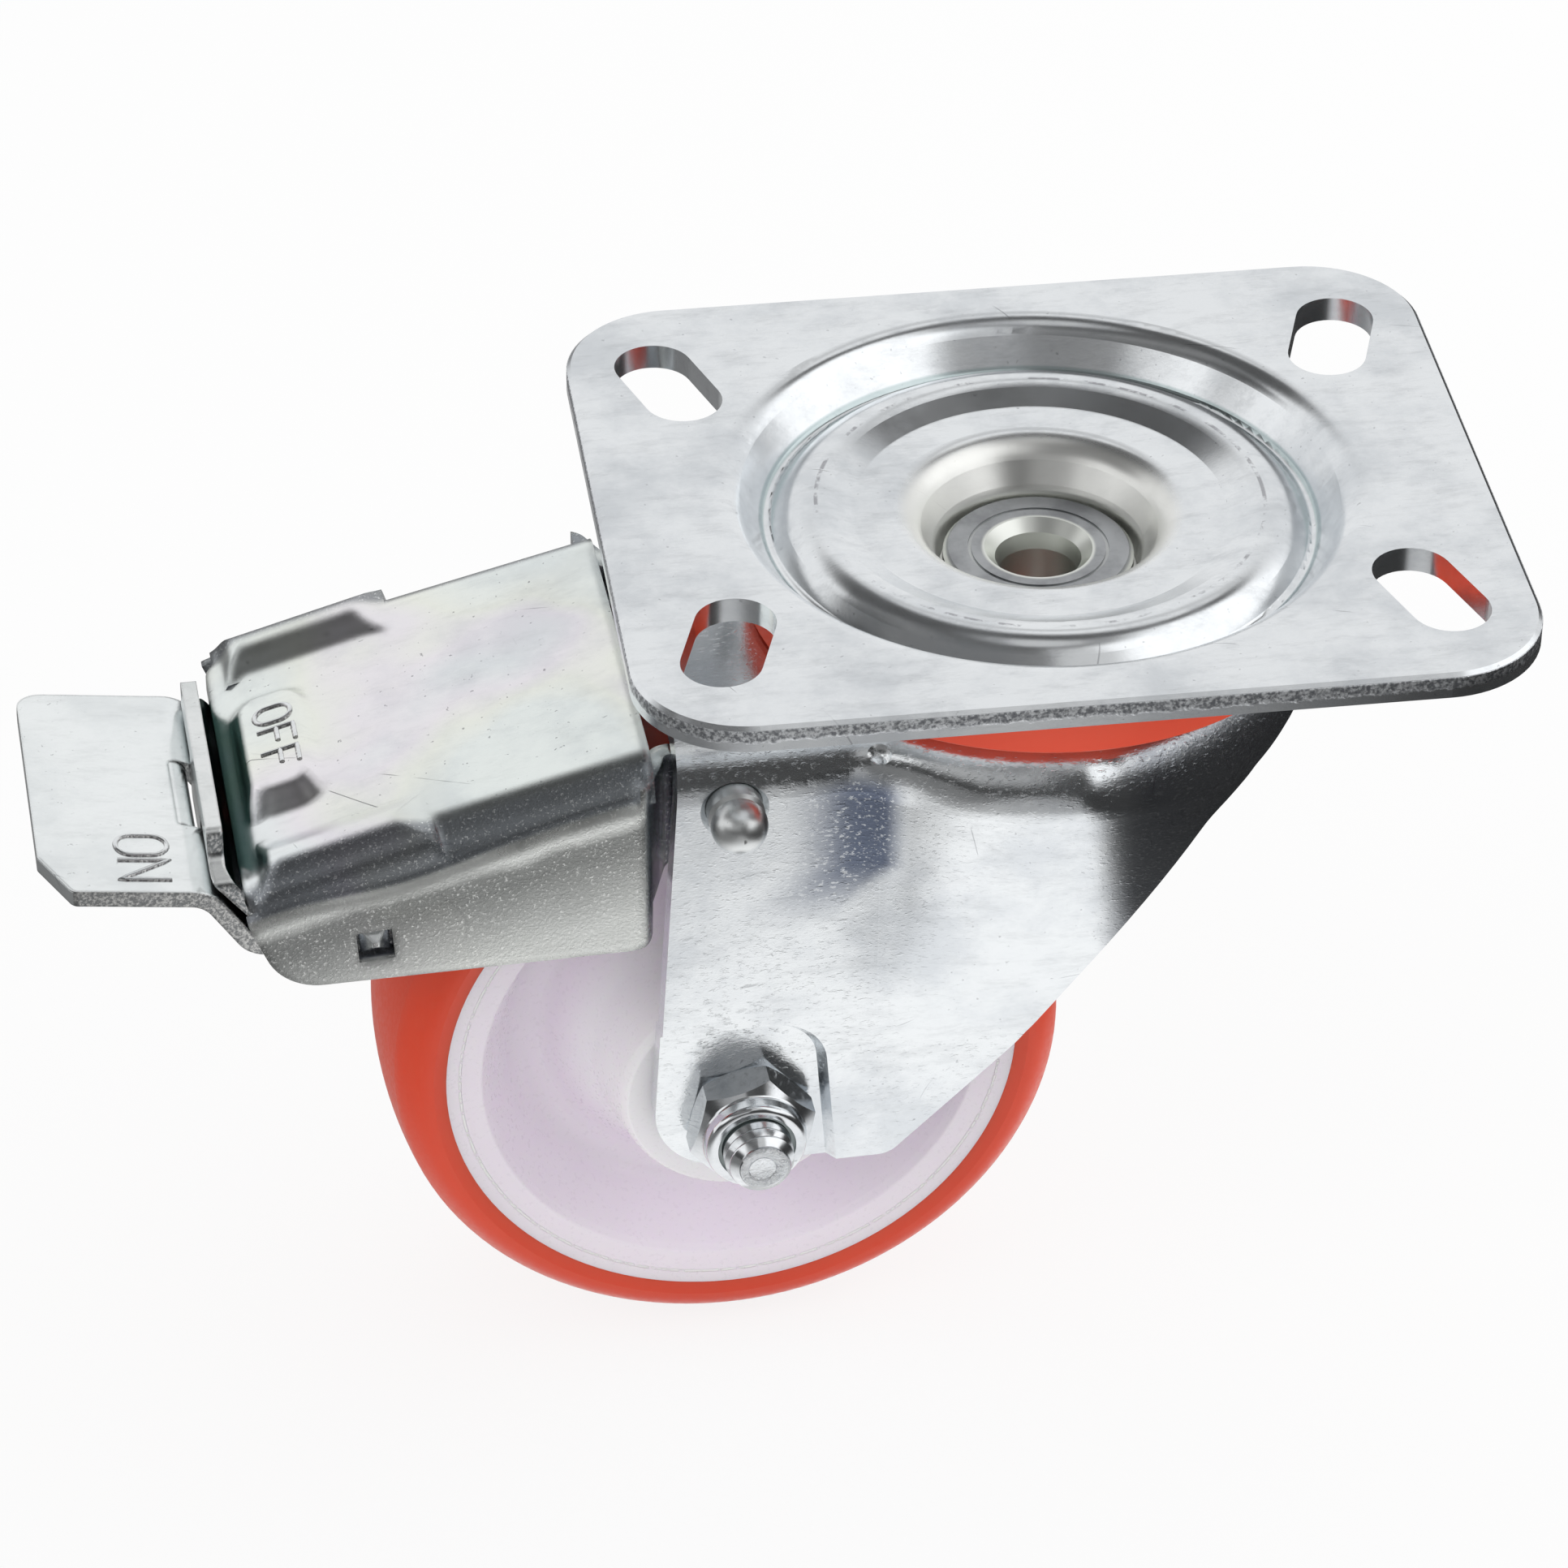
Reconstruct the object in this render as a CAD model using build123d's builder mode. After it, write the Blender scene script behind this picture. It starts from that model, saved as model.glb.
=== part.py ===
# Swivel plate castor with an 80 mm polyurethane wheel and a front foot brake.
#
# Frame: the origin is the centre of the plate's top mounting face, on the swivel axis, with +Z up.
# The plate's long side runs along X. The fork is turned a little on the swivel axis, so all that it
# carries is drawn on planes of the fork: "side" looks across the fork, its x runs to the rear and
# its y runs up. Distances "ahead" are measured forward of the swivel axis, depths below the plate.
import os
from build123d import *

os.makedirs("parts", exist_ok=True)

# ---- Fits ----
fit_gap = 0.05                  # radial clearance of pins and shafts
ball_gap = 0.10                 # between a ball and its tracks
seat_gap = 0.0                  # pieces that are clamped together touch

# ---- Top plate ----
plate_length = 100.0
plate_width = 85.0
plate_sheet = 3.0
plate_corner = 12.5
plate_edge_round = 0.5
slot_outer_x = 40.0             # holes at 80 x 60 use the outer ends of the slots
slot_outer_y = 30.0
slot_inner_x = 37.5             # holes at 75 x 45 use the inner ends
slot_inner_y = 22.5
slot_width = 9.0
press_radius = 35.6             # pressed swivel head: radii, and depths of the sheet's top side
valley_radius = 31.0
valley_depth = 6.1
crest_radius = 26.3
crest_depth = 1.45
dish_radius = 21.4
dish_depth = 3.35
funnel_radius = 15.4
funnel_waist_radius = 11.9
funnel_waist_depth = 8.4
seat_radius = 11.3
seat_depth = 11.3

# ---- Kingpin and lower race ----
kingpin_radius = 8.0
kingpin_head_radius = 10.8
kingpin_head_depth = 8.5
kingpin_bore_radius = 4.4
kingpin_flare_radius = 6.1
kingpin_flare_length = 3.2
kingpin_line_radius = 7.6       # turned line on the head
kingpin_line_width = 0.4
kingpin_rivet_radius = 10.2
kingpin_rivet_height = 2.2
race_sheet = 2.5
race_depth = 24.1               # top side of the cup's floor
race_floor_radius = 16.0
race_rim_radius = 18.6
race_rim_depth = 21.4

# ---- Balls ----
ball_radius = 3.0
ball_count = 20
ball_circle = 26.3
ball_depth = 7.55
lower_ball_radius = 2.5
lower_ball_count = 12
lower_ball_circle = 14.2
lower_ball_depth = 22.1

# ---- Dust seal ----
seal_outer_radius = 33.2
seal_inner_radius = 29.5
seal_foot_depth = 13.5
seal_top_depth = 7.6

# ---- Fork ----
fork_turn = 2.1                 # angle of the fork about the swivel axis as it stands
fork_sheet = 3.0
fork_half_width = 25.0          # to the outer face of a leg
fork_shoulder = 7.5             # outer radius where the crown bends down
crown_depth = 14.0              # top face of the crown
bell_radius = 34.8              # the crown is round above the balls and bulges out of the legs
bell_corner = 5.0               # hollow corner where the bulge starts
bulge_foot_depth = 58.0         # here the bulge has run out into the flat leg
ring_radius = 28.9              # raised ring that carries the upper balls
ring_inner_radius = 23.2
ring_depth = 10.6
crown_dish_radius = 19.5
crown_dish_depth = 17.0
crown_hole_radius = 9.5
leg_front = 45.0                # front edge of the fork, ahead of the axis, at the crown
leg_foot_front = 48.4
leg_foot_depth = 73.7
leg_foot_rear = 21.0
leg_foot_corner = 8.0
leg_knee_ahead = 5.5            # corners of the slanted rear edge
leg_knee_depth = 58.5
leg_neck_behind = 13.5
leg_neck_depth = 26.5
leg_heel_behind = 19.0
leg_heel_depth = 20.9
leg_rim_behind = 25.0
leg_rim_depth = 16.95
dimple_ahead = 23.4             # small round dimple where the bulge leaves the shoulder
dimple_depth = 16.2
dimple_rise = 0.7
dimple_radius = 2.1
pad_inset = 1.3                 # pads round the axle are pressed in by this much
pad_rear = 27.4
pad_top_depth = 53.2
pad_corner = 6.0
pad_slope = 38.0

# ---- Wheel and axle ----
axle_ahead = 37.3
axle_depth = 66.5
wheel_radius = 40.0
crown_half_width = 10.5
crown_edge_radius = 38.95
tread_half_width = 14.35
tread_side_radius = 34.9
centre_radius = 33.4            # joint of tyre and centre on the side of the wheel
centre_half_width = 13.95
core_radius = 35.2              # joint inside, where the tyre grips the centre
core_half_width = 10.5
rim_inner_radius = 28.6
web_half_thickness = 4.2
web_outer_radius = 26.6
hub_root_radius = 16.0
hub_radius = 13.9
hub_half_length = 19.9
tube_radius = 6.0
tube_bore_radius = 4.2
bolt_radius = 4.0
bolt_tip_half = 34.5            # tip of the thread, from the middle of the wheel
bolt_chamfer = 1.3
bolt_head_flats = 13.0
bolt_head_height = 5.3
nut_flats = 13.0
nut_hex_height = 4.7
nut_height = 6.6
nut_collar_radius = 5.95
insert_radius = 5.0
insert_height = 1.7
insert_bore_gap = 0.02
hex_turn = 15.0

# ---- Brake pivot ----
pivot_ahead = 39.0
pivot_depth = 22.4
pivot_radius = 3.2
pivot_end = 31.1                # top of each domed end, from the middle
pivot_neck = 0.45               # depth of the groove behind each dome
pivot_hole_edge = 0.6           # broken edge of the hole in the leg

# ---- Brake cover, the release lever ----
cover_sheet = 2.0
cover_fold_half = 25.0          # upper part, to the outer face
cover_fold = 5.0
cover_wall_half = 26.2          # side walls, to the outer face
cover_rear = 47.8
cover_rear_depth = 16.2
cover_mid = 75.0
cover_mid_depth = 22.9
cover_bend = 89.0
cover_bend_depth = 26.9
cover_front = 93.1
cover_front_depth = 29.3
cover_skirt_depth = 39.8
cover_nose_round = 6.5
cover_crease = [                # where the fold meets the side wall: (ahead, depth)
    (47.8, 19.2),
    (57.0, 21.2),
    (68.0, 24.6),
    (77.0, 27.4),
    (86.0, 28.7),
    (93.2, 30.8),
]
ear_half = 19.6                 # ears that reach the pivot pin, outer face
ear_round = 4.7
ear_bend = 49.6
ear_ramp = 3.0
ear_foot_depth = 35.5
ear_top_depth = 18.0
lug_ahead = 79.3
lug_depth = 35.1
lug_size = 3.4
lug_point = 1.4                 # height of the pyramid on each lug
lug_hole = 4.0
rib_inner = 15.3                # ribs pressed up along both folds: inner foot, from the middle
rib_crest = 20.8
rib_height = 1.3
rib_start = -3.7                # along the nose, from the bend
rib_toe_drop = 1.3              # the nose falls away by this much in front of the bend
rib_end = 17.6
rib_ramp = 4.4
toe_pad_length = 10.4           # raised pad on the nose: foot, and top
toe_pad_width = 24.4
toe_pad_shift = 0.8
toe_top_length = 6.4
toe_top_width = 17.6
toe_top_shift = -0.6
toe_middle = 2.2
toe_pad_height = 1.4
hood_lap = 1.2                  # the hood's sides reach this far below the crease
hood_floor = 45.0

# ---- Brake pedal ----
pedal_sheet = 2.0
pedal_half_width = 19.0
pedal_front = 115.1             # its path is the middle of the sheet
pedal_front_depth = 29.5
pedal_bend = 110.6
pedal_bend_depth = 30.05
pedal_neck = 96.8
pedal_neck_depth = 31.95
pedal_curl = 92.1
pedal_floor_depth = 39.3
pedal_floor_rear = 78.0
pedal_tail = 65.0
pedal_tail_depth = 31.2
pedal_chamfer_run = 3.4
pedal_chamfer_width = 6.6
pedal_corner = 2.8
slot_ahead = 98.9
slot_back = 93.6
slot_half = 6.2
flange_half = 23.8              # side flanges that carry the lugs, outer face
flange_length = 12.0
flange_rise = 3.1               # above the lug's middle
flange_foot = pedal_floor_depth + pedal_sheet / 2

# ---- Latch plate standing behind the pedal's slot ----
latch_sheet = 1.8
latch_ahead = 95.5
latch_top_depth = 25.7
latch_top_half = 14.7
latch_foot_half = 18.0
latch_curl = 89.9
latch_rear = 83.6
latch_tab_half = 5.8
latch_tab_top = 29.5
latch_tab_depth = 35.6
latch_knee_depth = 30.15
latch_shoulder_depth = 29.0
latch_step_depth = 30.8
latch_rivet_ahead = 86.4
latch_rivet_side = 9.0

# ---- Brake shoe, spring and rivets ----
shoe_gap = 1.7                  # from the tread with the brake off
shoe_sheet = 2.5
shoe_front_angle = 118.0        # about the axle
shoe_rear_angle = 102.5
shoe_half_width = 17.3
shoe_ear_inner = 15.3
shoe_ear_round = 4.6
shoe_rivet_angle = 113.5
spring_sheet = 0.8
spring_half_width = 5.0
spring_front = 73.0
spring_bend = 66.0
rivet_radius = 1.5
rivet_head_radius = 2.8
rivet_head_height = 1.1

# ---- Planes and axes that the pieces on the fork share ----
fork_frame = Plane.XY.rotated((0, 0, fork_turn))
side = Plane(origin=(0, 0, 0), x_dir=fork_frame.x_dir, z_dir=-fork_frame.y_dir)
axle_point = side.from_local_coords((-axle_ahead, -axle_depth, 0))
front = Plane(origin=(0, 0, 0), x_dir=fork_frame.y_dir, z_dir=fork_frame.x_dir)
axle_frame = Plane(origin=axle_point, x_dir=fork_frame.y_dir, z_dir=fork_frame.x_dir)
axle_axis = Axis(axle_point, fork_frame.y_dir)
pivot_point = side.from_local_coords((-pivot_ahead, -pivot_depth, 0))
pivot_frame = Plane(origin=pivot_point, x_dir=fork_frame.y_dir, z_dir=fork_frame.x_dir)
pivot_axis = Axis(pivot_point, fork_frame.y_dir)
bend_point = side.from_local_coords((-cover_bend, -cover_bend_depth, 0))
mid_point = side.from_local_coords((-cover_mid, -cover_mid_depth, 0))
nose_run = mid_point - bend_point
nose_frame = Plane(origin=bend_point, x_dir=nose_run, z_dir=nose_run.cross(fork_frame.y_dir))

# ---- Top plate: a flat sheet with four slanted slots, and the swivel head pressed into it ----
plate_middle = plate_sheet / 2
with BuildPart() as top_plate:
    with BuildSketch(Plane.XY):
        RectangleRounded(plate_length, plate_width, plate_corner)
        Circle(press_radius + 3, mode=Mode.SUBTRACT)
        for x_sign in (-1, 1):
            for y_sign in (-1, 1):
                slot_middle = (
                    x_sign * (slot_outer_x + slot_inner_x) / 2,
                    y_sign * (slot_outer_y + slot_inner_y) / 2,
                )
                slot_end = (x_sign * slot_outer_x, y_sign * slot_outer_y)
                SlotCenterPoint(slot_middle, slot_end, slot_width, mode=Mode.SUBTRACT)
    extrude(amount=-plate_sheet)
    with BuildSketch(Plane.XZ):
        with BuildLine():
            FilletPolyline(
                (press_radius + 3, -plate_middle),
                (press_radius, -plate_middle),
                (valley_radius, -valley_depth - plate_middle),
                (crest_radius, -crest_depth - plate_middle),
                (dish_radius, -dish_depth - plate_middle),
                (funnel_radius, -dish_depth - plate_middle),
                (funnel_waist_radius + 1.2, -funnel_waist_depth - 0.6),
                (seat_radius + 1.3, -seat_depth - plate_middle),
                (kingpin_radius + fit_gap, -seat_depth - plate_middle),
                radius=(2.2, 2.3, 3.2, 2.0, 2.6, 2.0, 1.6),
            )
        trace(line_width=plate_sheet)
    revolve(axis=Axis.Z)
    with BuildSketch(Plane.XZ):
        with Locations((ball_circle, -ball_depth)):
            Circle(ball_radius + ball_gap)
    revolve(axis=Axis.Z, mode=Mode.SUBTRACT)
    rim = top_plate.faces().sort_by(Axis.Z)[-1].outer_wire()
    chamfer(rim.edges(), plate_edge_round)
top_plate.part.label = "top_plate"
export_step(top_plate.part, "parts/top_plate.step")

# ---- Kingpin: hollow pin, headed in the funnel and riveted over below the lower race ----
kingpin_foot = race_depth + race_sheet + kingpin_rivet_height
with BuildPart() as kingpin:
    with BuildSketch(Plane.XZ):
        with BuildLine():
            Polyline(
                (kingpin_flare_radius, -kingpin_head_depth),
                (kingpin_head_radius - 0.6, -kingpin_head_depth),
                (kingpin_head_radius, -kingpin_head_depth - 0.6),
                (kingpin_head_radius, -seat_depth),
                (kingpin_radius, -seat_depth),
                (kingpin_radius, -race_depth - race_sheet),
                (kingpin_rivet_radius, -race_depth - race_sheet),
                (kingpin_rivet_radius - 0.4, -kingpin_foot + 0.8),
                (kingpin_radius, -kingpin_foot),
                (kingpin_bore_radius + 0.5, -kingpin_foot),
                (kingpin_bore_radius, -kingpin_foot + 0.5),
                (kingpin_bore_radius, -kingpin_head_depth - kingpin_flare_length),
                (kingpin_flare_radius - 1.2, -kingpin_head_depth - 1.3),
                close=True,
            )
        make_face()
    revolve(axis=Axis.Z)
    with BuildSketch(Plane.XY.offset(-kingpin_head_depth)):
        Circle(kingpin_line_radius + kingpin_line_width)
        Circle(kingpin_line_radius, mode=Mode.SUBTRACT)
    extrude(amount=-0.2, mode=Mode.SUBTRACT)
kingpin.part.label = "kingpin"
export_step(kingpin.part, "parts/kingpin.step")

# ---- Lower race: pressed cup that holds the lower balls against the crown ----
with BuildPart() as lower_race:
    with BuildSketch(Plane.XZ):
        with BuildLine():
            FilletPolyline(
                (kingpin_radius + fit_gap, -race_depth - race_sheet / 2),
                (race_floor_radius + 1, -race_depth - race_sheet / 2),
                (race_rim_radius, -race_rim_depth),
                radius=1.8,
            )
        trace(line_width=race_sheet)
    revolve(axis=Axis.Z)
    with BuildSketch(Plane.XZ):
        with Locations((lower_ball_circle, -lower_ball_depth)):
            Circle(lower_ball_radius + ball_gap)
    revolve(axis=Axis.Z, mode=Mode.SUBTRACT)
lower_race.part.label = "lower_race"
export_step(lower_race.part, "parts/lower_race.step")

# ---- Balls of the two races ----
with BuildPart(Plane.XY.offset(-ball_depth)) as upper_balls:
    with PolarLocations(ball_circle, ball_count):
        Sphere(ball_radius)
upper_balls.part.label = "upper_balls"
export_step(upper_balls.part, "parts/upper_balls.step")

with BuildPart(Plane.XY.offset(-lower_ball_depth)) as lower_balls:
    with PolarLocations(lower_ball_circle, lower_ball_count):
        Sphere(lower_ball_radius)
lower_balls.part.label = "lower_balls"
export_step(lower_balls.part, "parts/lower_balls.step")

# ---- Dust seal: ring round the upper balls, standing on the crown ----
with BuildPart() as dust_seal:
    with BuildSketch(Plane.XZ):
        with BuildLine():
            Polyline(
                (seal_inner_radius, -seal_foot_depth - 0.4),
                (seal_outer_radius - 0.4, -seal_foot_depth),
                (seal_outer_radius, -seal_foot_depth + 0.4),
                (seal_outer_radius, -seal_top_depth),
                (seal_outer_radius - 1.3, -seal_top_depth - 1.2),
                (seal_inner_radius, -seal_top_depth - 1.2),
                close=True,
            )
        make_face()
    revolve(axis=Axis.Z)
dust_seal.part.label = "dust_seal"
export_step(dust_seal.part, "parts/dust_seal.step")

# ---- Fork: crown and legs from one sheet. An outer and an inner body are lofted from the round
# ---- crown down to the flat legs; their difference is the sheet. ----
body_reach = leg_foot_front + 4
body_foot_depth = leg_foot_depth + 6
fork_bodies = []
for inset in (0.0, fork_sheet):
    half = fork_half_width - inset
    bell = bell_radius - inset
    corner = bell_corner + inset
    corner_x = ((bell + corner) ** 2 - (half + corner) ** 2) ** 0.5
    meet_x = corner_x * bell / (bell + corner)
    meet_y = (half + corner) * bell / (bell + corner)
    rear_x = (bell**2 - half**2) ** 0.5
    with BuildPart() as fork_body:
        with BuildSketch(fork_frame.offset(-crown_depth - inset)):
            with BuildLine():
                Line((-body_reach, half), (-body_reach, -half))
                Line((-body_reach, -half), (-corner_x, -half))
                RadiusArc((-corner_x, -half), (-meet_x, -meet_y), corner)
                ThreePointArc((-meet_x, -meet_y), (0, -bell), (rear_x, -half))
                ThreePointArc((rear_x, -half), (bell, 0), (rear_x, half))
                ThreePointArc((rear_x, half), (0, bell), (-meet_x, meet_y))
                RadiusArc((-meet_x, meet_y), (-corner_x, half), corner)
                Line((-corner_x, half), (-body_reach, half))
            make_face()
        with BuildSketch(fork_frame.offset(-bulge_foot_depth)):
            with BuildLine():
                Line((-body_reach, half), (-body_reach, -half))
                Line((-body_reach, -half), (-corner_x, -half))
                Line((-corner_x, -half), (-meet_x, -half))
                Line((-meet_x, -half), (rear_x, -half))
                ThreePointArc((rear_x, -half), (bell, 0), (rear_x, half))
                Line((rear_x, half), (-meet_x, half))
                Line((-meet_x, half), (-corner_x, half))
                Line((-corner_x, half), (-body_reach, half))
            make_face()
        loft(ruled=True)
        crown_rim = fork_body.faces().sort_by(Axis.Z)[-1].outer_wire()
        fillet(crown_rim.edges().sort_by(Axis.X)[1:], fork_shoulder - inset)
        with BuildSketch(fork_frame.offset(-body_foot_depth)):
            with BuildLine():
                Polyline(
                    (-body_reach, -half),
                    (0, -half),
                    (0, half),
                    (-body_reach, half),
                    close=True,
                )
            make_face()
        extrude(amount=body_foot_depth - bulge_foot_depth)
        for sign in (-1, 1):
            with BuildSketch(side.offset(sign * half)):
                with BuildLine():
                    FilletPolyline(
                        (-body_reach - 8, -pad_top_depth),
                        (-pad_rear - 1.4, -pad_top_depth),
                        (-pad_rear + 1.4, -body_foot_depth - 8),
                        radius=pad_corner,
                    )
                    Line((-pad_rear + 1.4, -body_foot_depth - 8), (-body_reach - 8, -body_foot_depth - 8))
                    Line((-body_reach - 8, -body_foot_depth - 8), (-body_reach - 8, -pad_top_depth))
                make_face()
            extrude(amount=-sign * pad_inset, taper=pad_slope, mode=Mode.SUBTRACT)
    fork_bodies.append(fork_body.part)

with BuildPart() as fork:
    add(fork_bodies[0])
    add(fork_bodies[1], mode=Mode.SUBTRACT)
    with BuildSketch(side):
        with BuildLine():
            FilletPolyline(
                (leg_rim_behind + 14, -crown_depth + 1),
                (-leg_front, -crown_depth + 1),
                (-leg_foot_front, -leg_foot_depth),
                (-leg_foot_rear, -leg_foot_depth),
                (-leg_knee_ahead, -leg_knee_depth),
                (leg_neck_behind, -leg_neck_depth),
                (leg_heel_behind, -leg_heel_depth),
                (leg_rim_behind, -leg_rim_depth),
                (leg_rim_behind + 14, -leg_rim_depth),
                radius=(0.2, leg_foot_corner, 3.0, 20.0, 12.0, 4.0, 8.0),
            )
            Line(
                (leg_rim_behind + 14, -leg_rim_depth),
                (leg_rim_behind + 14, -crown_depth + 1),
            )
        make_face()
    extrude(amount=bell_radius + 5, both=True, mode=Mode.INTERSECT)
    with BuildSketch(Plane.XY.offset(-crown_depth)):
        Circle(ring_radius - fork_sheet / 2)
    extrude(amount=-fork_sheet, mode=Mode.SUBTRACT)
    with BuildSketch(Plane.XZ):
        with BuildLine():
            FilletPolyline(
                (crown_hole_radius, -crown_dish_depth - fork_sheet / 2),
                (crown_dish_radius + 0.6, -crown_dish_depth - fork_sheet / 2),
                (ring_inner_radius, -ring_depth - fork_sheet / 2),
                (ring_radius - fork_sheet / 2, -ring_depth - fork_sheet / 2),
                (ring_radius - fork_sheet / 2, -crown_depth - fork_sheet),
                radius=(1.9, 1.9, 1.7),
            )
        trace(line_width=fork_sheet)
    revolve(axis=Axis.Z)
    with BuildSketch(Plane.XZ):
        with Locations((ball_circle, -ball_depth)):
            Circle(ball_radius + ball_gap)
        with Locations((lower_ball_circle, -lower_ball_depth)):
            Circle(lower_ball_radius + ball_gap)
    revolve(axis=Axis.Z, mode=Mode.SUBTRACT)
    with BuildSketch(side):
        with Locations((-axle_ahead, -axle_depth)):
            Circle(bolt_radius + fit_gap)
        with Locations((-pivot_ahead, -pivot_depth)):
            Circle(pivot_radius + fit_gap)
    extrude(amount=fork_half_width + 5, both=True, mode=Mode.SUBTRACT)
    for sign in (-1, 1):
        with BuildSketch(side.offset(sign * fork_half_width)):
            with Locations((-pivot_ahead, -pivot_depth)):
                Circle(pivot_radius + fit_gap + pivot_hole_edge)
        extrude(amount=-sign * pivot_hole_edge, taper=45, mode=Mode.SUBTRACT)
    dimples = [
        side.from_local_coords((-dimple_ahead, -dimple_depth, sign * (fork_half_width + dimple_rise)))
        for sign in (-1, 1)
    ]
    with Locations(*dimples):
        Sphere(dimple_radius, mode=Mode.SUBTRACT)
fork.part.label = "fork"
export_step(fork.part, "parts/fork.step")

# ---- Brake pivot pin, domed at both ends ----
leg_outer = fork_half_width
with BuildPart() as brake_pivot_pin:
    with BuildSketch(pivot_frame):
        with BuildLine():
            Line((0, 0), (pivot_end, 0))
            CenterArc((pivot_end - pivot_radius, 0), pivot_radius, 0, 90)
            Polyline(
                (pivot_end - pivot_radius, pivot_radius),
                (pivot_end - pivot_radius - 0.3, pivot_radius),
                (pivot_end - pivot_radius - 0.5, pivot_radius - pivot_neck),
                (pivot_end - pivot_radius - 1.3, pivot_radius - pivot_neck),
                (pivot_end - pivot_radius - 1.6, pivot_radius),
                (0, pivot_radius),
                (0, 0),
            )
        make_face()
        mirror(about=Plane.YZ)
    revolve(axis=pivot_axis)
brake_pivot_pin.part.label = "brake_pivot_pin"
export_step(brake_pivot_pin.part, "parts/brake_pivot_pin.step")

# ---- Wheel centre: rim, dished web and hub in one moulding ----
with BuildPart() as wheel_centre:
    with BuildSketch(axle_frame):
        with BuildLine():
            FilletPolyline(
                (0, tube_radius + fit_gap),
                (hub_half_length, tube_radius + fit_gap),
                (hub_half_length, hub_radius - 0.6),
                (hub_half_length - 1.0, hub_radius),
                (web_half_thickness + 6.0, hub_root_radius),
                (web_half_thickness + 0.6, hub_root_radius + 4.5),
                (web_half_thickness, web_outer_radius - 2.0),
                (centre_half_width - 1.4, rim_inner_radius),
                (centre_half_width - 0.4, rim_inner_radius + 0.6),
                (centre_half_width, centre_radius),
                (core_half_width, core_radius),
                (0, core_radius),
                radius=(0.3, 0.4, 0.4, 5.0, 2.5, 3.0, 0.6, 0.4, 0.05, 0.05),
            )
            Line((0, core_radius), (0, tube_radius + fit_gap))
        make_face()
        mirror(about=Plane.YZ)
    revolve(axis=axle_axis)
wheel_centre.part.label = "wheel_centre"
export_step(wheel_centre.part, "parts/wheel_centre.step")

# ---- Tyre, cast on the centre ----
with BuildPart() as wheel_tread:
    with BuildSketch(axle_frame):
        with BuildLine():
            Line((0, core_radius), (core_half_width, core_radius))
            Line((core_half_width, core_radius), (centre_half_width, centre_radius))
            Line((centre_half_width, centre_radius), (tread_half_width, tread_side_radius))
            Spline(
                (tread_half_width, tread_side_radius),
                (12.8, 37.75),
                (crown_half_width, crown_edge_radius),
                tangents=((0, 1), (-1, 0.2)),
            )
            ThreePointArc(
                (crown_half_width, crown_edge_radius),
                (crown_half_width / 2, wheel_radius - 0.26),
                (0, wheel_radius),
            )
            Line((0, wheel_radius), (0, core_radius))
        make_face()
        mirror(about=Plane.YZ)
    revolve(axis=axle_axis)
wheel_tread.part.label = "wheel_tread"
export_step(wheel_tread.part, "parts/wheel_tread.step")

# ---- Axle: spacer tube between the pads, and the bolt with its lock nut ----
pad_outer = fork_half_width - pad_inset
pad_inner = pad_outer - fork_sheet
with BuildPart() as axle_tube:
    with BuildSketch(axle_frame):
        with BuildLine():
            Polyline(
                (-pad_inner, tube_bore_radius),
                (pad_inner, tube_bore_radius),
                (pad_inner, tube_radius),
                (-pad_inner, tube_radius),
                close=True,
            )
        make_face()
    revolve(axis=axle_axis)
axle_tube.part.label = "axle_tube"
export_step(axle_tube.part, "parts/axle_tube.step")

with BuildPart() as axle_bolt:
    with BuildSketch(side.offset(-pad_outer)):
        with Locations((-axle_ahead, -axle_depth)):
            RegularPolygon(bolt_head_flats / 2, 6, major_radius=False, rotation=hex_turn)
    extrude(amount=-bolt_head_height)
    with BuildSketch(axle_frame):
        with BuildLine():
            Polyline(
                (pad_outer - 1, 0),
                (pad_outer + bolt_head_height, 0),
                (pad_outer + bolt_head_height, bolt_head_flats / 2 - 0.3),
                (pad_outer + bolt_head_height - 0.8, bolt_head_flats / 2 + 1.1),
                (pad_outer, bolt_head_flats / 2 + 1.1),
                (pad_outer - 1, bolt_head_flats / 2 + 1.1),
                close=True,
            )
        make_face()
    revolve(axis=axle_axis, mode=Mode.INTERSECT)
    with BuildSketch(axle_frame):
        with BuildLine():
            Polyline(
                (pad_outer + 1, 0),
                (pad_outer + 1, bolt_radius),
                (-bolt_tip_half + bolt_chamfer, bolt_radius),
                (-bolt_tip_half, bolt_radius - bolt_chamfer),
                (-bolt_tip_half, 0),
                close=True,
            )
        make_face()
    revolve(axis=axle_axis)
axle_bolt.part.label = "axle_bolt"
export_step(axle_bolt.part, "parts/axle_bolt.step")

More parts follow.
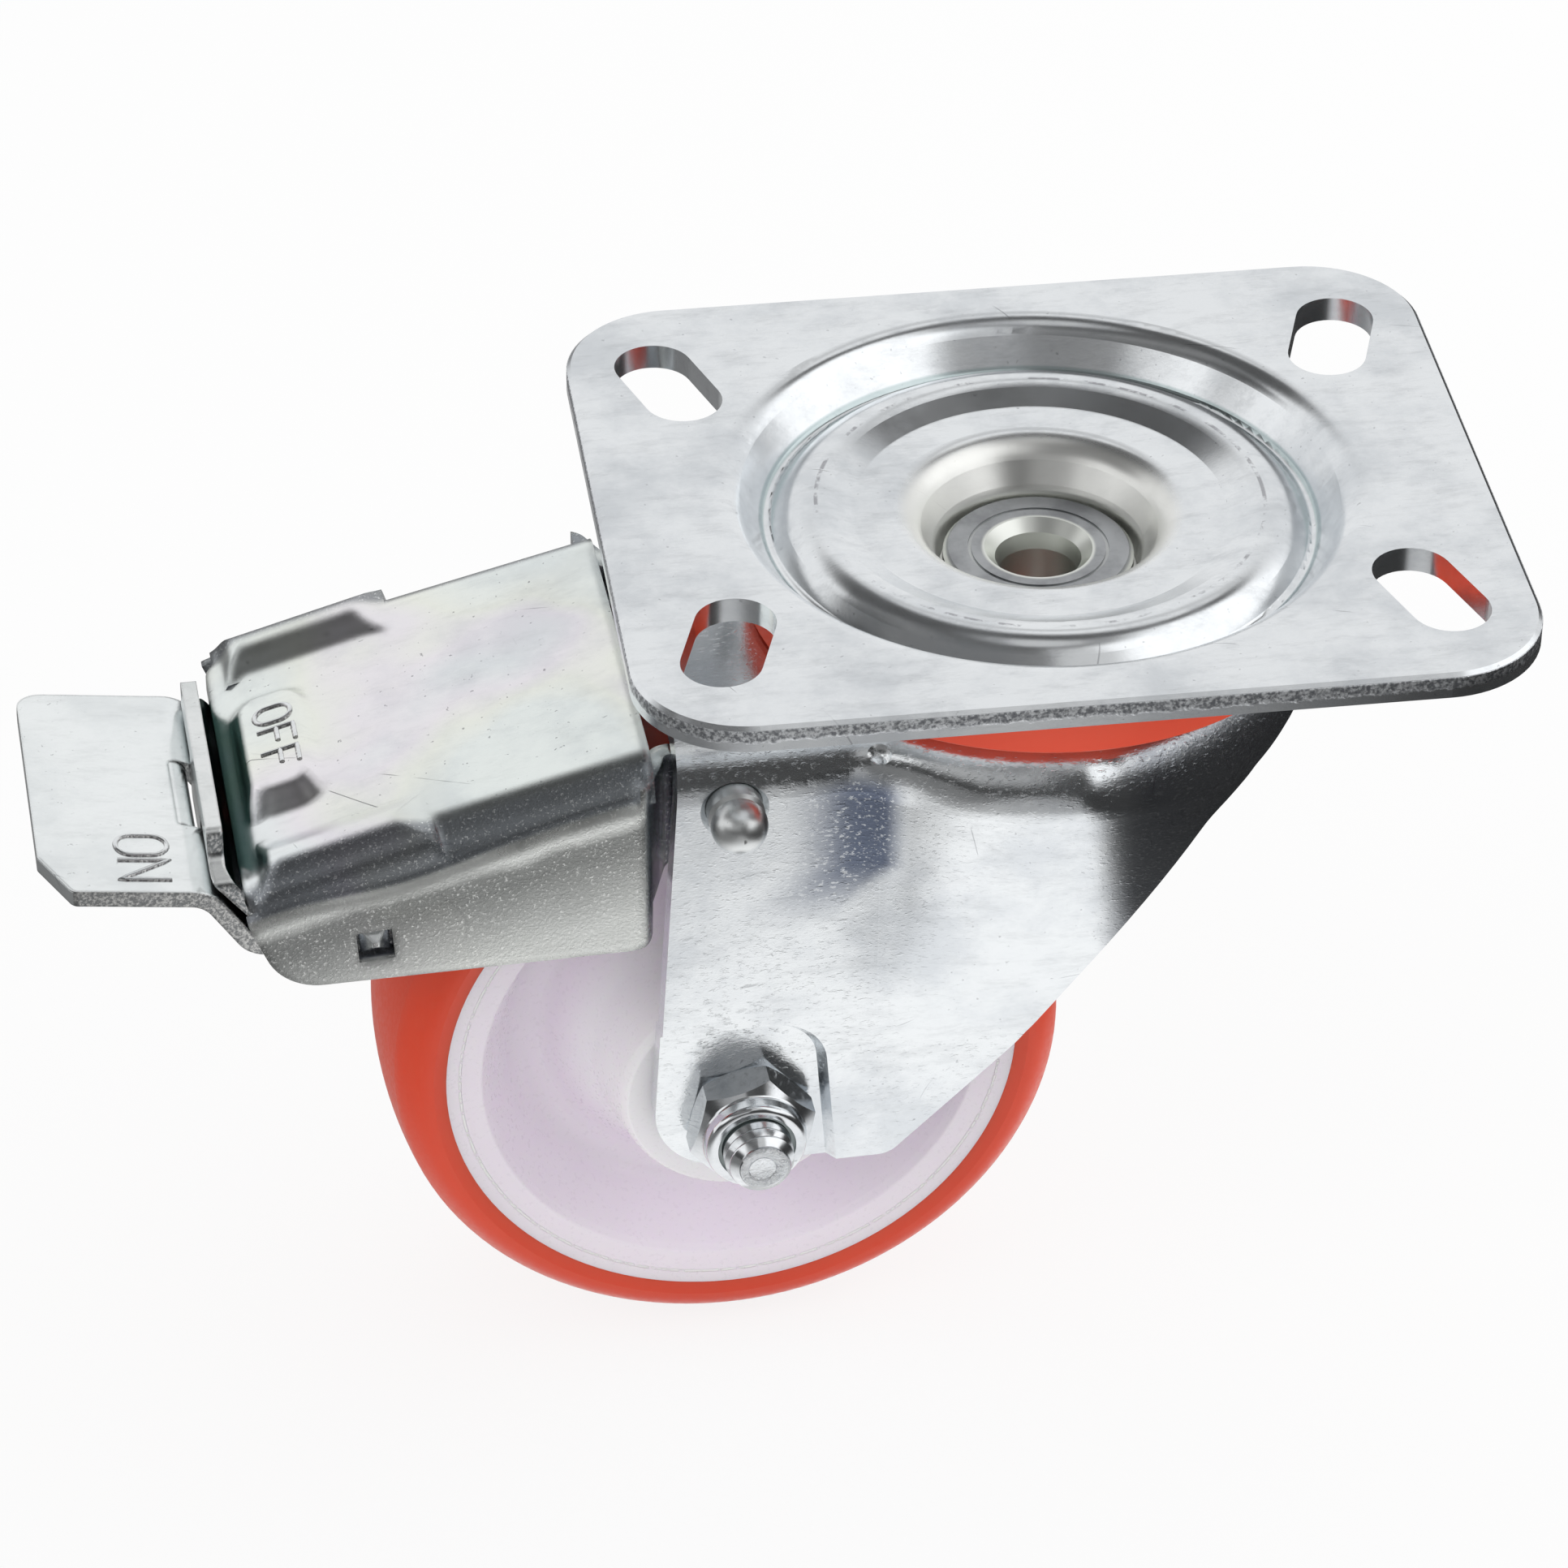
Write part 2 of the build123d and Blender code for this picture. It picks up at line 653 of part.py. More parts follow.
nut_top = pad_outer + nut_height
with BuildPart() as axle_nut:
    with BuildSketch(side.offset(pad_outer)):
        with Locations((-axle_ahead, -axle_depth)):
            RegularPolygon(nut_flats / 2, 6, major_radius=False, rotation=hex_turn)
    extrude(amount=nut_height)
    with BuildSketch(axle_frame):
        with BuildLine():
            FilletPolyline(
                (-pad_outer, bolt_radius + fit_gap),
                (-pad_outer, nut_flats / 2 - 0.1),
                (-pad_outer - 0.9, nut_flats / 2 + 1.1),
                (-pad_outer - nut_hex_height + 1.2, nut_flats / 2 + 1.1),
                (-pad_outer - nut_hex_height, nut_collar_radius),
                (-nut_top, nut_collar_radius - 0.25),
                (-nut_top, bolt_radius + 0.5),
                (-nut_top + 0.45, bolt_radius + 0.5),
                (-nut_top + 0.45, insert_radius),
                (-nut_top + 0.45 + insert_height, insert_radius),
                (-nut_top + 0.45 + insert_height, bolt_radius + fit_gap),
                radius=(0, 0, 0, 0.5, 0.8, 0, 0, 0, 0),
            )
            Line(
                (-nut_top + 0.45 + insert_height, bolt_radius + fit_gap),
                (-pad_outer, bolt_radius + fit_gap),
            )
        make_face()
    revolve(axis=axle_axis, mode=Mode.INTERSECT)
axle_nut.part.label = "axle_nut"
export_step(axle_nut.part, "parts/axle_nut.step")

with BuildPart() as nut_insert:
    with BuildSketch(axle_frame):
        with BuildLine():
            Polyline(
                (-nut_top + 0.45, bolt_radius + insert_bore_gap),
                (-nut_top + 0.45, insert_radius),
                (-nut_top + 0.45 + insert_height, insert_radius),
                (-nut_top + 0.45 + insert_height, bolt_radius + insert_bore_gap),
                close=True,
            )
        make_face()
    revolve(axis=axle_axis)
nut_insert.part.label = "nut_insert"
export_step(nut_insert.part, "parts/nut_insert.step")

# ---- Brake cover: pressed hood. Its side walls bend in at the rear and run on as ears. ----
wall_line = cover_wall_half - cover_sheet / 2
ear_line = ear_half - cover_sheet / 2
crease = [(-ahead, -depth) for ahead, depth in cover_crease]
with BuildPart() as ear_reach:
    with BuildSketch(side):
        with Locations((-pivot_ahead, -pivot_depth)):
            Circle(ear_round)
        with BuildLine():
            Line((-ear_bend, -ear_top_depth), (-ear_bend, -ear_foot_depth))
        make_hull()
        with BuildLine():
            Spline(crease)
            FilletPolyline(
                crease[-1],
                (-cover_front + 3.5, -cover_skirt_depth),
                (-cover_rear - 0.4, 0.3 - cover_skirt_depth),
                crease[0],
                radius=(cover_nose_round, 1.2),
            )
        make_face()
        with Locations((-pivot_ahead, -pivot_depth)):
            Circle(pivot_radius + fit_gap, mode=Mode.SUBTRACT)
    extrude(amount=cover_wall_half + 5, both=True)

with BuildPart() as cover_walls:
    for sign in (-1, 1):
        with BuildSketch(fork_frame.offset(-cover_skirt_depth - 2)):
            with BuildLine():
                FilletPolyline(
                    (-cover_front - 3, sign * wall_line),
                    (-ear_bend, sign * wall_line),
                    (-ear_bend + ear_ramp, sign * ear_line),
                    (-pivot_ahead + ear_round + 3, sign * ear_line),
                    radius=1.8,
                )
            trace(line_width=cover_sheet)
    extrude(amount=cover_skirt_depth)
    add(ear_reach.part, mode=Mode.INTERSECT)
    wall_tops = cover_walls.edges().filter_by(GeomType.BSPLINE)
    outer_tops = wall_tops.filter_by(
        lambda edge: abs(side.to_local_coords(edge.center()).Z) > cover_wall_half - 0.01
    )
    fillet(outer_tops, 1.3)

hood_slope = (cover_mid_depth - cover_rear_depth) / (cover_mid - cover_rear)
hood_sheet = cover_sheet * (1 + hood_slope**2) ** 0.5
hood_bodies = []
for inset, drop, past in ((0.0, 0.0, 0.0), (cover_sheet, hood_sheet, 4.0)):
    with BuildPart() as hood_body:
        with BuildSketch(side):
            with BuildLine():
                FilletPolyline(
                    (past - cover_rear, hood_slope * past - cover_rear_depth - drop),
                    (-cover_mid, -cover_mid_depth - drop),
                    (-cover_bend, -cover_bend_depth - drop),
                    (-cover_front - past, -cover_front_depth - drop - 0.5 * past),
                    (-cover_front - past, -hood_floor),
                    radius=(20.0, 6.0, 0.6),
                )
                Polyline(
                    (-cover_front - past, -hood_floor),
                    (past - cover_rear, -hood_floor),
                    (past - cover_rear, hood_slope * past - cover_rear_depth - drop),
                )
            make_face()
        extrude(amount=cover_fold_half - inset, both=True)
        long_edges = hood_body.edges().filter_by(Axis.Z, reverse=True).filter_by(
            lambda edge: abs(side.to_local_coords(edge.center()).Z) > 1
            and side.to_local_coords(edge.center()).Y > 1 - hood_floor
        )
        fillet(long_edges, cover_fold - inset)
    hood_bodies.append(hood_body.part)

rib_section = Plane(
    origin=nose_frame.from_local_coords((rib_start - 1, 0, 0)),
    x_dir=fork_frame.y_dir,
    z_dir=nose_frame.x_dir,
)
rib_side = Plane(origin=bend_point, x_dir=nose_run, z_dir=-fork_frame.y_dir)
with BuildPart() as fold_ribs:
    for sign in (-1, 1):
        with BuildSketch(rib_section):
            with BuildLine():
                Spline(
                    (sign * rib_inner, -0.15),
                    (sign * rib_crest, rib_height),
                    tangents=((sign, 0.12), (sign, 0)),
                )
                Spline(
                    (sign * rib_crest, rib_height),
                    (sign * cover_fold_half, -cover_fold),
                    tangents=((sign, 0), (0, -1)),
                )
                Polyline(
                    (sign * cover_fold_half, -cover_fold),
                    (sign * rib_inner, -cover_fold),
                    (sign * rib_inner, -0.15),
                )
            make_face()
        extrude(amount=rib_end - rib_start + 2)
    with BuildSketch(rib_side):
        with BuildLine():
            Spline(
                (rib_start, -rib_toe_drop),
                (rib_start + rib_ramp, rib_height),
                tangents=((1, 0.3), (1, 0)),
            )
            Line((rib_start + rib_ramp, rib_height), (rib_end - rib_ramp, rib_height))
            Spline(
                (rib_end - rib_ramp, rib_height),
                (rib_end, -0.15),
                tangents=((1, 0), (1, -0.12)),
            )
            Polyline(
                (rib_end, -0.15),
                (rib_end, -cover_fold - 1),
                (rib_start, -cover_fold - 1),
                (rib_start, -rib_toe_drop),
            )
        make_face()
    extrude(amount=cover_fold_half + 1, both=True, mode=Mode.INTERSECT)

with BuildPart() as toe_pad:
    with BuildSketch(nose_frame.offset(-0.6)):
        with Locations((toe_middle, -toe_pad_shift)):
            RectangleRounded(toe_pad_length, toe_pad_width, 3.6)
    with BuildSketch(nose_frame.offset(toe_pad_height)):
        with Locations((toe_middle, -toe_top_shift)):
            RectangleRounded(toe_top_length, toe_top_width, 2.2)
    loft()
    toe_top = toe_pad.faces().sort_by(Axis(nose_frame.origin, nose_frame.z_dir))[-1]
    fillet(toe_top.edges(), 1.2)

with BuildPart() as brake_cover:
    add(hood_bodies[0])
    add(fold_ribs.part)
    add(toe_pad.part)
    add(hood_bodies[1], mode=Mode.SUBTRACT)
    with BuildSketch(side):
        with BuildLine():
            Spline([(along, height - hood_lap) for along, height in crease])
            Polyline(
                (crease[-1][0], crease[-1][1] - hood_lap),
                (crease[-1][0], -hood_floor - 1),
                (crease[0][0], -hood_floor - 1),
                (crease[0][0], crease[0][1] - hood_lap),
            )
        make_face()
    extrude(amount=cover_wall_half, both=True, mode=Mode.SUBTRACT)
    add(cover_walls.part)
    with BuildSketch(side):
        with Locations((-lug_ahead, -lug_depth)):
            Rectangle(lug_hole, lug_hole, rotation=4)
    extrude(amount=cover_wall_half + 5, both=True, mode=Mode.SUBTRACT)
brake_cover.part.label = "brake_cover"
export_step(brake_cover.part, "parts/brake_cover.step")

# ---- Brake pedal: foot plate, curl down in front of the cover, and floor inside it ----
with BuildPart() as brake_pedal:
    with BuildSketch(side):
        with BuildLine():
            FilletPolyline(
                (-pedal_front, -pedal_front_depth),
                (-pedal_bend, -pedal_bend_depth),
                (-pedal_neck, -pedal_neck_depth),
                (-pedal_curl, -pedal_floor_depth),
                (-pedal_floor_rear, -pedal_floor_depth),
                (-pedal_tail, -pedal_tail_depth),
                radius=(20.0, 4.0, 3.0, 5.0),
            )
        trace(line_width=pedal_sheet)
    extrude(amount=pedal_half_width, both=True)
    with BuildSketch(fork_frame.offset(-pedal_floor_depth - 20)):
        with BuildLine():
            FilletPolyline(
                (-pedal_tail + 5, -pedal_half_width),
                (-pedal_front + pedal_chamfer_run, -pedal_half_width),
                (-pedal_front, pedal_chamfer_width - pedal_half_width),
                (-pedal_front, pedal_half_width),
                (-pedal_tail + 5, pedal_half_width),
                radius=(1.0, 1.0, pedal_corner),
            )
            Line((-pedal_tail + 5, pedal_half_width), (-pedal_tail + 5, -pedal_half_width))
        make_face()
    extrude(amount=40, mode=Mode.INTERSECT)
    with BuildSketch(fork_frame.offset(-pedal_neck_depth - 6)):
        with BuildLine():
            FilletPolyline(
                (-slot_back, -slot_half),
                (-slot_ahead, -slot_half),
                (-slot_ahead, slot_half),
                (-slot_back, slot_half),
                radius=0.7,
            )
            Line((-slot_back, slot_half), (-slot_back, -slot_half))
        make_face()
    extrude(amount=12, mode=Mode.SUBTRACT)
    for sign in (-1, 1):
        with BuildSketch(side.offset(sign * flange_half)):
            with Locations((-lug_ahead, (-lug_depth + flange_rise - flange_foot) / 2)):
                RectangleRounded(flange_length, flange_foot + flange_rise - lug_depth, 2.0)
        extrude(amount=-sign * pedal_sheet)
        with BuildSketch(side.offset(sign * (pedal_half_width - 1))):
            with Locations((-lug_ahead, -pedal_floor_depth)):
                Rectangle(flange_length - 2, pedal_sheet)
        extrude(amount=sign * (flange_half - pedal_half_width))
        with BuildSketch(side.offset(sign * flange_half)):
            with Locations((-lug_ahead, -lug_depth)):
                Rectangle(lug_size, lug_size, rotation=4)
        extrude(amount=sign * (cover_wall_half - flange_half - 0.1 - lug_point))
        with BuildSketch(side.offset(sign * (cover_wall_half - 0.1 - lug_point))):
            with Locations((-lug_ahead, -lug_depth)):
                Rectangle(lug_size, lug_size, rotation=4)
        extrude(amount=sign * lug_point, taper=45)
        with BuildSketch(fork_frame.offset(-pedal_floor_depth - 3)):
            with Locations((-latch_rivet_ahead, sign * latch_rivet_side)):
                Circle(rivet_radius + fit_gap)
        extrude(amount=5, mode=Mode.SUBTRACT)
brake_pedal.part.label = "brake_pedal"
export_step(brake_pedal.part, "parts/brake_pedal.step")

# ---- Latch plate: upright strap behind the slot, riveted to the pedal's floor ----
latch_rivet_places = [(-latch_rivet_ahead, sign * latch_rivet_side) for sign in (-1, 1)]
latch_floor_depth = pedal_floor_depth - pedal_sheet / 2 - latch_sheet / 2
latch_foot_depth = pedal_floor_depth + 5
with BuildPart() as latch_plate:
    with BuildSketch(side):
        with BuildLine():
            FilletPolyline(
                (-latch_ahead, -latch_top_depth),
                (-latch_ahead, -latch_knee_depth),
                (-latch_curl, -latch_floor_depth),
                (-latch_rear, -latch_floor_depth),
                radius=1.6,
            )
        trace(line_width=latch_sheet)
    extrude(amount=latch_foot_half, both=True)
    with BuildSketch(front.offset(-latch_ahead - 5)):
        with BuildLine():
            FilletPolyline(
                (-latch_foot_half, -latch_foot_depth),
                (-latch_foot_half, -latch_step_depth),
                (-latch_top_half - 0.2, -latch_shoulder_depth),
                (-latch_top_half, -latch_top_depth),
                (latch_top_half, -latch_top_depth),
                (latch_top_half + 0.2, -latch_shoulder_depth),
                (latch_foot_half, -latch_step_depth),
                (latch_foot_half, -latch_foot_depth),
                radius=(1.2, 1.6, 0.8, 0.8, 1.6, 1.2),
            )
            Line((latch_foot_half, -latch_foot_depth), (-latch_foot_half, -latch_foot_depth))
        make_face()
    extrude(amount=30, mode=Mode.INTERSECT)
    with BuildSketch(front.offset(-latch_ahead - latch_sheet / 2)):
        with BuildLine():
            FilletPolyline(
                (-latch_tab_half, -latch_tab_top),
                (-latch_tab_half, -latch_tab_depth),
                (latch_tab_half, -latch_tab_depth),
                (latch_tab_half, -latch_tab_top),
                radius=1.0,
            )
            Line((latch_tab_half, -latch_tab_top), (-latch_tab_half, -latch_tab_top))
        make_face()
    extrude(amount=latch_sheet)
    with BuildSketch(fork_frame.offset(-pedal_floor_depth - 3)):
        with Locations(*latch_rivet_places):
            Circle(rivet_radius + fit_gap)
    extrude(amount=8, mode=Mode.SUBTRACT)
latch_plate.part.label = "latch_plate"
export_step(latch_plate.part, "parts/latch_plate.step")

with BuildPart() as latch_rivets:
    with BuildSketch(fork_frame.offset(-pedal_floor_depth - pedal_sheet / 2)):
        with Locations(*latch_rivet_places):
            Circle(rivet_radius)
    extrude(amount=pedal_sheet + latch_sheet)
    for depth, reach in (
        (pedal_floor_depth + pedal_sheet / 2, -rivet_head_height),
        (latch_floor_depth - latch_sheet / 2, rivet_head_height),
    ):
        with BuildSketch(fork_frame.offset(-depth)):
            with Locations(*latch_rivet_places):
                Circle(rivet_head_radius)
        extrude(amount=reach, taper=25)
latch_rivets.part.label = "latch_rivets"
export_step(latch_rivets.part, "parts/latch_rivets.step")

# ---- Brake shoe: curved pad over the tread, hung on the pivot pin ----
shoe_inner = wheel_radius + shoe_gap
shoe_outer = shoe_inner + shoe_sheet
rivet_way = Vector(1, 0).rotate(Axis.Z, shoe_rivet_angle)
shoe_top = Vector(-axle_ahead, -axle_depth) + rivet_way * (shoe_outer + spring_sheet / 2)
rivet_foot = Vector(-axle_ahead, -axle_depth) + rivet_way * shoe_inner
rivet_frame = Plane(
    origin=side.from_local_coords(rivet_foot),
    x_dir=fork_frame.y_dir,
    z_dir=side.from_local_coords(rivet_way),
)
with BuildPart() as brake_shoe:
    with BuildSketch(side):
        with BuildLine():
            arc_angle = shoe_front_angle - shoe_rear_angle
            lower = CenterArc((-axle_ahead, -axle_depth), shoe_inner, shoe_rear_angle, arc_angle)
            upper = CenterArc((-axle_ahead, -axle_depth), shoe_outer, shoe_rear_angle, arc_angle)
            Line(lower @ 0, upper @ 0)
            Line(lower @ 1, upper @ 1)
        make_face()
    extrude(amount=shoe_half_width, both=True)
    for sign in (-1, 1):
        with BuildSketch(side.offset(sign * shoe_ear_inner)):
            with Locations((-pivot_ahead, -pivot_depth)):
                Circle(shoe_ear_round)
            with BuildLine():
                Line(lower @ 0.7, upper @ 0.7)
            make_hull()
        extrude(amount=sign * (shoe_half_width - shoe_ear_inner))
    with BuildSketch(side):
        with Locations((-pivot_ahead, -pivot_depth)):
            Circle(pivot_radius + fit_gap)
    extrude(amount=shoe_half_width + 5, both=True, mode=Mode.SUBTRACT)
    with BuildSketch(rivet_frame):
        Circle(rivet_radius + fit_gap)
    extrude(amount=5, both=True, mode=Mode.SUBTRACT)
brake_shoe.part.label = "brake_shoe"
export_step(brake_shoe.part, "parts/brake_shoe.step")

# ---- Leaf spring that lifts the shoe: welded under the hood, riveted to the shoe ----
shoe_run = rivet_way.rotate(Axis.Z, -90)
spring_drop = (cover_sheet + spring_sheet / 2) * (1 + hood_slope**2) ** 0.5
with BuildPart() as brake_spring:
    with BuildSketch(side):
        with BuildLine():
            FilletPolyline(
                (
                    -spring_front,
                    -cover_rear_depth - hood_slope * (spring_front - cover_rear) - spring_drop,
                ),
                (
                    -spring_bend,
                    -cover_rear_depth - hood_slope * (spring_bend - cover_rear) - spring_drop,
                ),
                shoe_top - shoe_run * 4.4,
                shoe_top + shoe_run * 3.4,
                radius=1.5,
            )
        trace(line_width=spring_sheet)
    extrude(amount=spring_half_width, both=True)
    with BuildSketch(rivet_frame):
        Circle(rivet_radius + fit_gap)
    extrude(amount=8, mode=Mode.SUBTRACT)
brake_spring.part.label = "brake_spring"
export_step(brake_spring.part, "parts/brake_spring.step")

with BuildPart() as spring_rivet:
    with BuildSketch(rivet_frame.offset(0.1)):
        Circle(rivet_radius)
    extrude(amount=shoe_sheet + spring_sheet)
    with BuildSketch(rivet_frame.offset(shoe_sheet + spring_sheet)):
        Circle(rivet_head_radius)
    extrude(amount=rivet_head_height, taper=25)
spring_rivet.part.label = "spring_rivet"
export_step(spring_rivet.part, "parts/spring_rivet.step")
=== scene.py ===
from collections import namedtuple
from math import cos, pi, radians, sin

import bmesh
import bpy
from mathutils import Matrix, Vector
from mathutils.bvhtree import BVHTree


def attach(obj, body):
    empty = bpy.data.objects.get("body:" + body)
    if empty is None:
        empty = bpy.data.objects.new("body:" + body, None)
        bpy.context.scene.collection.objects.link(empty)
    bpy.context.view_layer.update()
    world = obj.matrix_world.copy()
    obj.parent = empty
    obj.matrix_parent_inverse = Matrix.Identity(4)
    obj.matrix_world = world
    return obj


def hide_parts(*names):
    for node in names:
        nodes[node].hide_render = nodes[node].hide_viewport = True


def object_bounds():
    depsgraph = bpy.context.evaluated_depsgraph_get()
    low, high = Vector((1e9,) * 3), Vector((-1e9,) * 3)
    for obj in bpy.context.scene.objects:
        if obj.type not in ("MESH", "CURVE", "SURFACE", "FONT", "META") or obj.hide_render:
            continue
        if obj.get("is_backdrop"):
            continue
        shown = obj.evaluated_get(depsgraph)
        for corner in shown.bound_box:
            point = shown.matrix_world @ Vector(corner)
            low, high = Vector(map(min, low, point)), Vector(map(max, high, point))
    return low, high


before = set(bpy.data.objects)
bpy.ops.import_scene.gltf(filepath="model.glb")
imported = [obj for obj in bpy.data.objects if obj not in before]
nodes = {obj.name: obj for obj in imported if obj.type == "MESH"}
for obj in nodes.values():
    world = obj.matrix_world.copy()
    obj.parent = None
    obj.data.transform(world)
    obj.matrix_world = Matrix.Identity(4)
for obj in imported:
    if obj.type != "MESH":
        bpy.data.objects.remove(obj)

cad_low, cad_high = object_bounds()

# ---- Stage: floor, backdrop light and lamps ----
# A white table and backdrop, and three large soft lamps: left, right, and a strip above and behind.
# The plated steel mirrors a room with bright walls and a dark ceiling, which only reflections see;
# the diffuse light is even.
scene = bpy.context.scene
scene.view_settings.view_transform = "Standard"


def link(tree, output, socket):
    tree.links.new(output, socket)


def feed(tree, value, socket):
    """Give a socket a fixed value or another node's output."""
    if isinstance(value, bpy.types.NodeSocket):
        link(tree, value, socket)
    else:
        socket.default_value = value


def maths(tree, operation, first, second=None, clamp=False):
    node = tree.nodes.new("ShaderNodeMath")
    node.operation = operation
    node.use_clamp = clamp
    feed(tree, first, node.inputs[0])
    if second is not None:
        feed(tree, second, node.inputs[1])
    return node.outputs[0]


def product(tree, first, *others):
    for value in others:
        first = maths(tree, "MULTIPLY", first, value)
    return first


def total(tree, first, *others):
    for value in others:
        first = maths(tree, "ADD", first, value)
    return first


def from_axis(tree, x, y):
    return maths(tree, "SQRT", total(tree, product(tree, x, x), product(tree, y, y)))


def ease(tree, value, low, high, to_low=0.0, to_high=1.0):
    """A smooth step from one level to another as the value goes from low to high."""
    node = tree.nodes.new("ShaderNodeMapRange")
    node.interpolation_type = "SMOOTHSTEP"
    link(tree, value, node.inputs["Value"])
    limits = {"From Min": low, "From Max": high, "To Min": to_low, "To Max": to_high}
    for name, number in limits.items():
        node.inputs[name].default_value = number
    return node.outputs["Result"]


def between(tree, value, rise, fall):
    """1 between a rise and a fall, each given as (start, end), and 0 outside them."""
    return product(tree, ease(tree, value, *rise), ease(tree, value, *fall, 1.0, 0.0))


def split(tree, vector):
    node = tree.nodes.new("ShaderNodeSeparateXYZ")
    link(tree, vector, node.inputs[0])
    return node.outputs


# the room as the plating mirrors it: (from, to, low, high, softness) in degrees, then the level;
# azimuth 0 is behind the castor and 90 is on its right
room = (
    (-230, 230, 54, 120, 8, 0.09),
    (-200, -62, 50, 68, 9, 0.22),
    (-66, 62, -9, 44, 5, 0.90),
    (-107, -62, -9, 31, 5, 0.98),
    (-138, -98, 17, 40, 5, 1.10),
    (-230, -138, 17, 42, 7, 0.42),
    (-6, 40, 47, 61, 5, 0.92),
    (60, 148, 9, 72, 7, 1.25),
    (146, 230, 40, 76, 9, 0.62),
    (100, 176, -12, 12, 5, 0.07),
    (-230, 230, 80, 120, 4, 0.60),
)
unlit_room, fill_level = 0.06, 0.80
zenith, fade_margin = 90, 0.001

world = bpy.data.worlds.new("room")
scene.world = world
world.use_nodes = True
tree = world.node_tree
background = tree.nodes["Background"]
background.inputs["Color"].default_value = (1, 1, 1, 1)
x, y, z = split(tree, tree.nodes.new("ShaderNodeTexCoord").outputs["Generated"])
azimuth = maths(tree, "ARCTAN2", x, y)
mirrored = unlit_room
for west, east, low, high, soft, level in room:
    west_edge = radians(west - soft), radians(west + soft)
    east_edge = radians(east - soft), radians(east + soft)
    sill = sin(radians(low - soft)), sin(radians(low + soft))
    window = product(tree, between(tree, azimuth, west_edge, east_edge), ease(tree, z, *sill))
    # a zone that reaches the zenith has no upper edge
    if high < zenith:
        head = sin(radians(high - soft)), sin(radians(high + soft)) + fade_margin
        window = product(tree, window, ease(tree, z, *head, 1.0, 0.0))
    mix = tree.nodes.new("ShaderNodeMix")
    feed(tree, window, mix.inputs["Factor"])
    feed(tree, mirrored, mix.inputs["A"])
    feed(tree, level, mix.inputs["B"])
    mirrored = mix.outputs["Result"]
path = tree.nodes.new("ShaderNodeLightPath")
lit = total(
    tree,
    product(tree, mirrored, path.outputs["Is Glossy Ray"]),
    product(tree, path.outputs["Is Diffuse Ray"], fill_level))
seen = maths(tree, "MAXIMUM", path.outputs["Is Camera Ray"], path.outputs["Is Transmission Ray"])
link(tree, maths(tree, "MAXIMUM", lit, seen), background.inputs["Strength"])

floor_gap, floor_half = 0.0002, 3.0
floor_grey = (0.9, 0.9, 0.9, 1)
camera_share = 0.86
pool_x, pool_y = -0.005, -0.045
bm = bmesh.new()
bmesh.ops.create_grid(bm, x_segments=1, y_segments=1, size=floor_half)
bmesh.ops.translate(bm, verts=bm.verts, vec=(0, 0, cad_low.z - floor_gap))
floor_mesh = bpy.data.meshes.new("floor")
bm.to_mesh(floor_mesh)
bm.free()
floor = bpy.data.objects.new("floor", floor_mesh)
scene.collection.objects.link(floor)
floor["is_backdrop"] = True
paper = bpy.data.materials.new("white_table")
paper.use_nodes = True
tree = paper.node_tree
matt = tree.nodes["Principled BSDF"]
matt.inputs["Base Color"].default_value = floor_grey
matt.inputs["Roughness"].default_value = 0.8
glow = tree.nodes.new("ShaderNodeEmission")
mix = tree.nodes.new("ShaderNodeMixShader")
path = tree.nodes.new("ShaderNodeLightPath")
# the table as the plating mirrors it is brightest under the castor and darkest on its right
x, y, _ = split(tree, tree.nodes.new("ShaderNodeTexCoord").outputs["Object"])
distance = from_axis(tree, total(tree, x, -pool_x), total(tree, y, -pool_y))
pool = ease(tree, distance, 0.045, 0.13, 0.62, 0.0)
from_left = ease(tree, x, -0.17, -0.05, 0.20, 0.46)
right_side = ease(tree, x, 0.024, 0.074, 1.0, 0.10)
shade = product(tree, total(tree, pool, from_left), right_side)
glossy, by_camera = path.outputs["Is Glossy Ray"], path.outputs["Is Camera Ray"]
link(tree, maths(tree, "MAXIMUM", by_camera, product(tree, glossy, shade)), glow.inputs["Strength"])
blend = maths(tree, "ADD", product(tree, by_camera, camera_share), glossy, clamp=True)
link(tree, blend, mix.inputs["Fac"])
link(tree, matt.outputs[0], mix.inputs[1])
link(tree, glow.outputs[0], mix.inputs[2])
link(tree, mix.outputs[0], tree.nodes["Material Output"].inputs["Surface"])
floor_mesh.materials.append(paper)

# azimuth and height in degrees, width and height in metres, and the level
lamps = (
    ("right_softbox", 84, 30, 0.85, 0.62, 1.5),
    ("left_softbox", -118, 32, 0.45, 0.40, 1.5),
    ("top_strip", 2, 52, 0.60, 0.20, 1.2),
)
lamp_distance = 0.9
aim = Vector((-0.02, 0, -0.04))
for name, azimuth, height, width, tall, level in lamps:
    light = bpy.data.lights.new(name, "AREA")
    light.shape = "RECTANGLE"
    light.size, light.size_y = width, tall
    light.energy = level * pi * width * tall
    lamp = bpy.data.objects.new(name, light)
    scene.collection.objects.link(lamp)
    a, e = radians(azimuth), radians(height)
    outward = Vector((sin(a) * cos(e), cos(a) * cos(e), sin(e)))
    lamp.location = outward * lamp_distance + aim
    lamp.rotation_euler = outward.to_track_quat("Z", "Y").to_euler()
    lamp.visible_camera = False
    lamp.visible_glossy = False

camera = bpy.data.objects.new("camera", bpy.data.cameras.new("camera"))
scene.collection.objects.link(camera)
scene.camera = camera
camera.data.sensor_width = 36.0
camera.data.lens = 141.883
camera.data.clip_start, camera.data.clip_end = 0.01, 20.0
camera.location = (-0.111151, -0.568629, 0.380548)
camera.rotation_euler = (radians(53.87214), radians(-0.31650), radians(-8.00864))

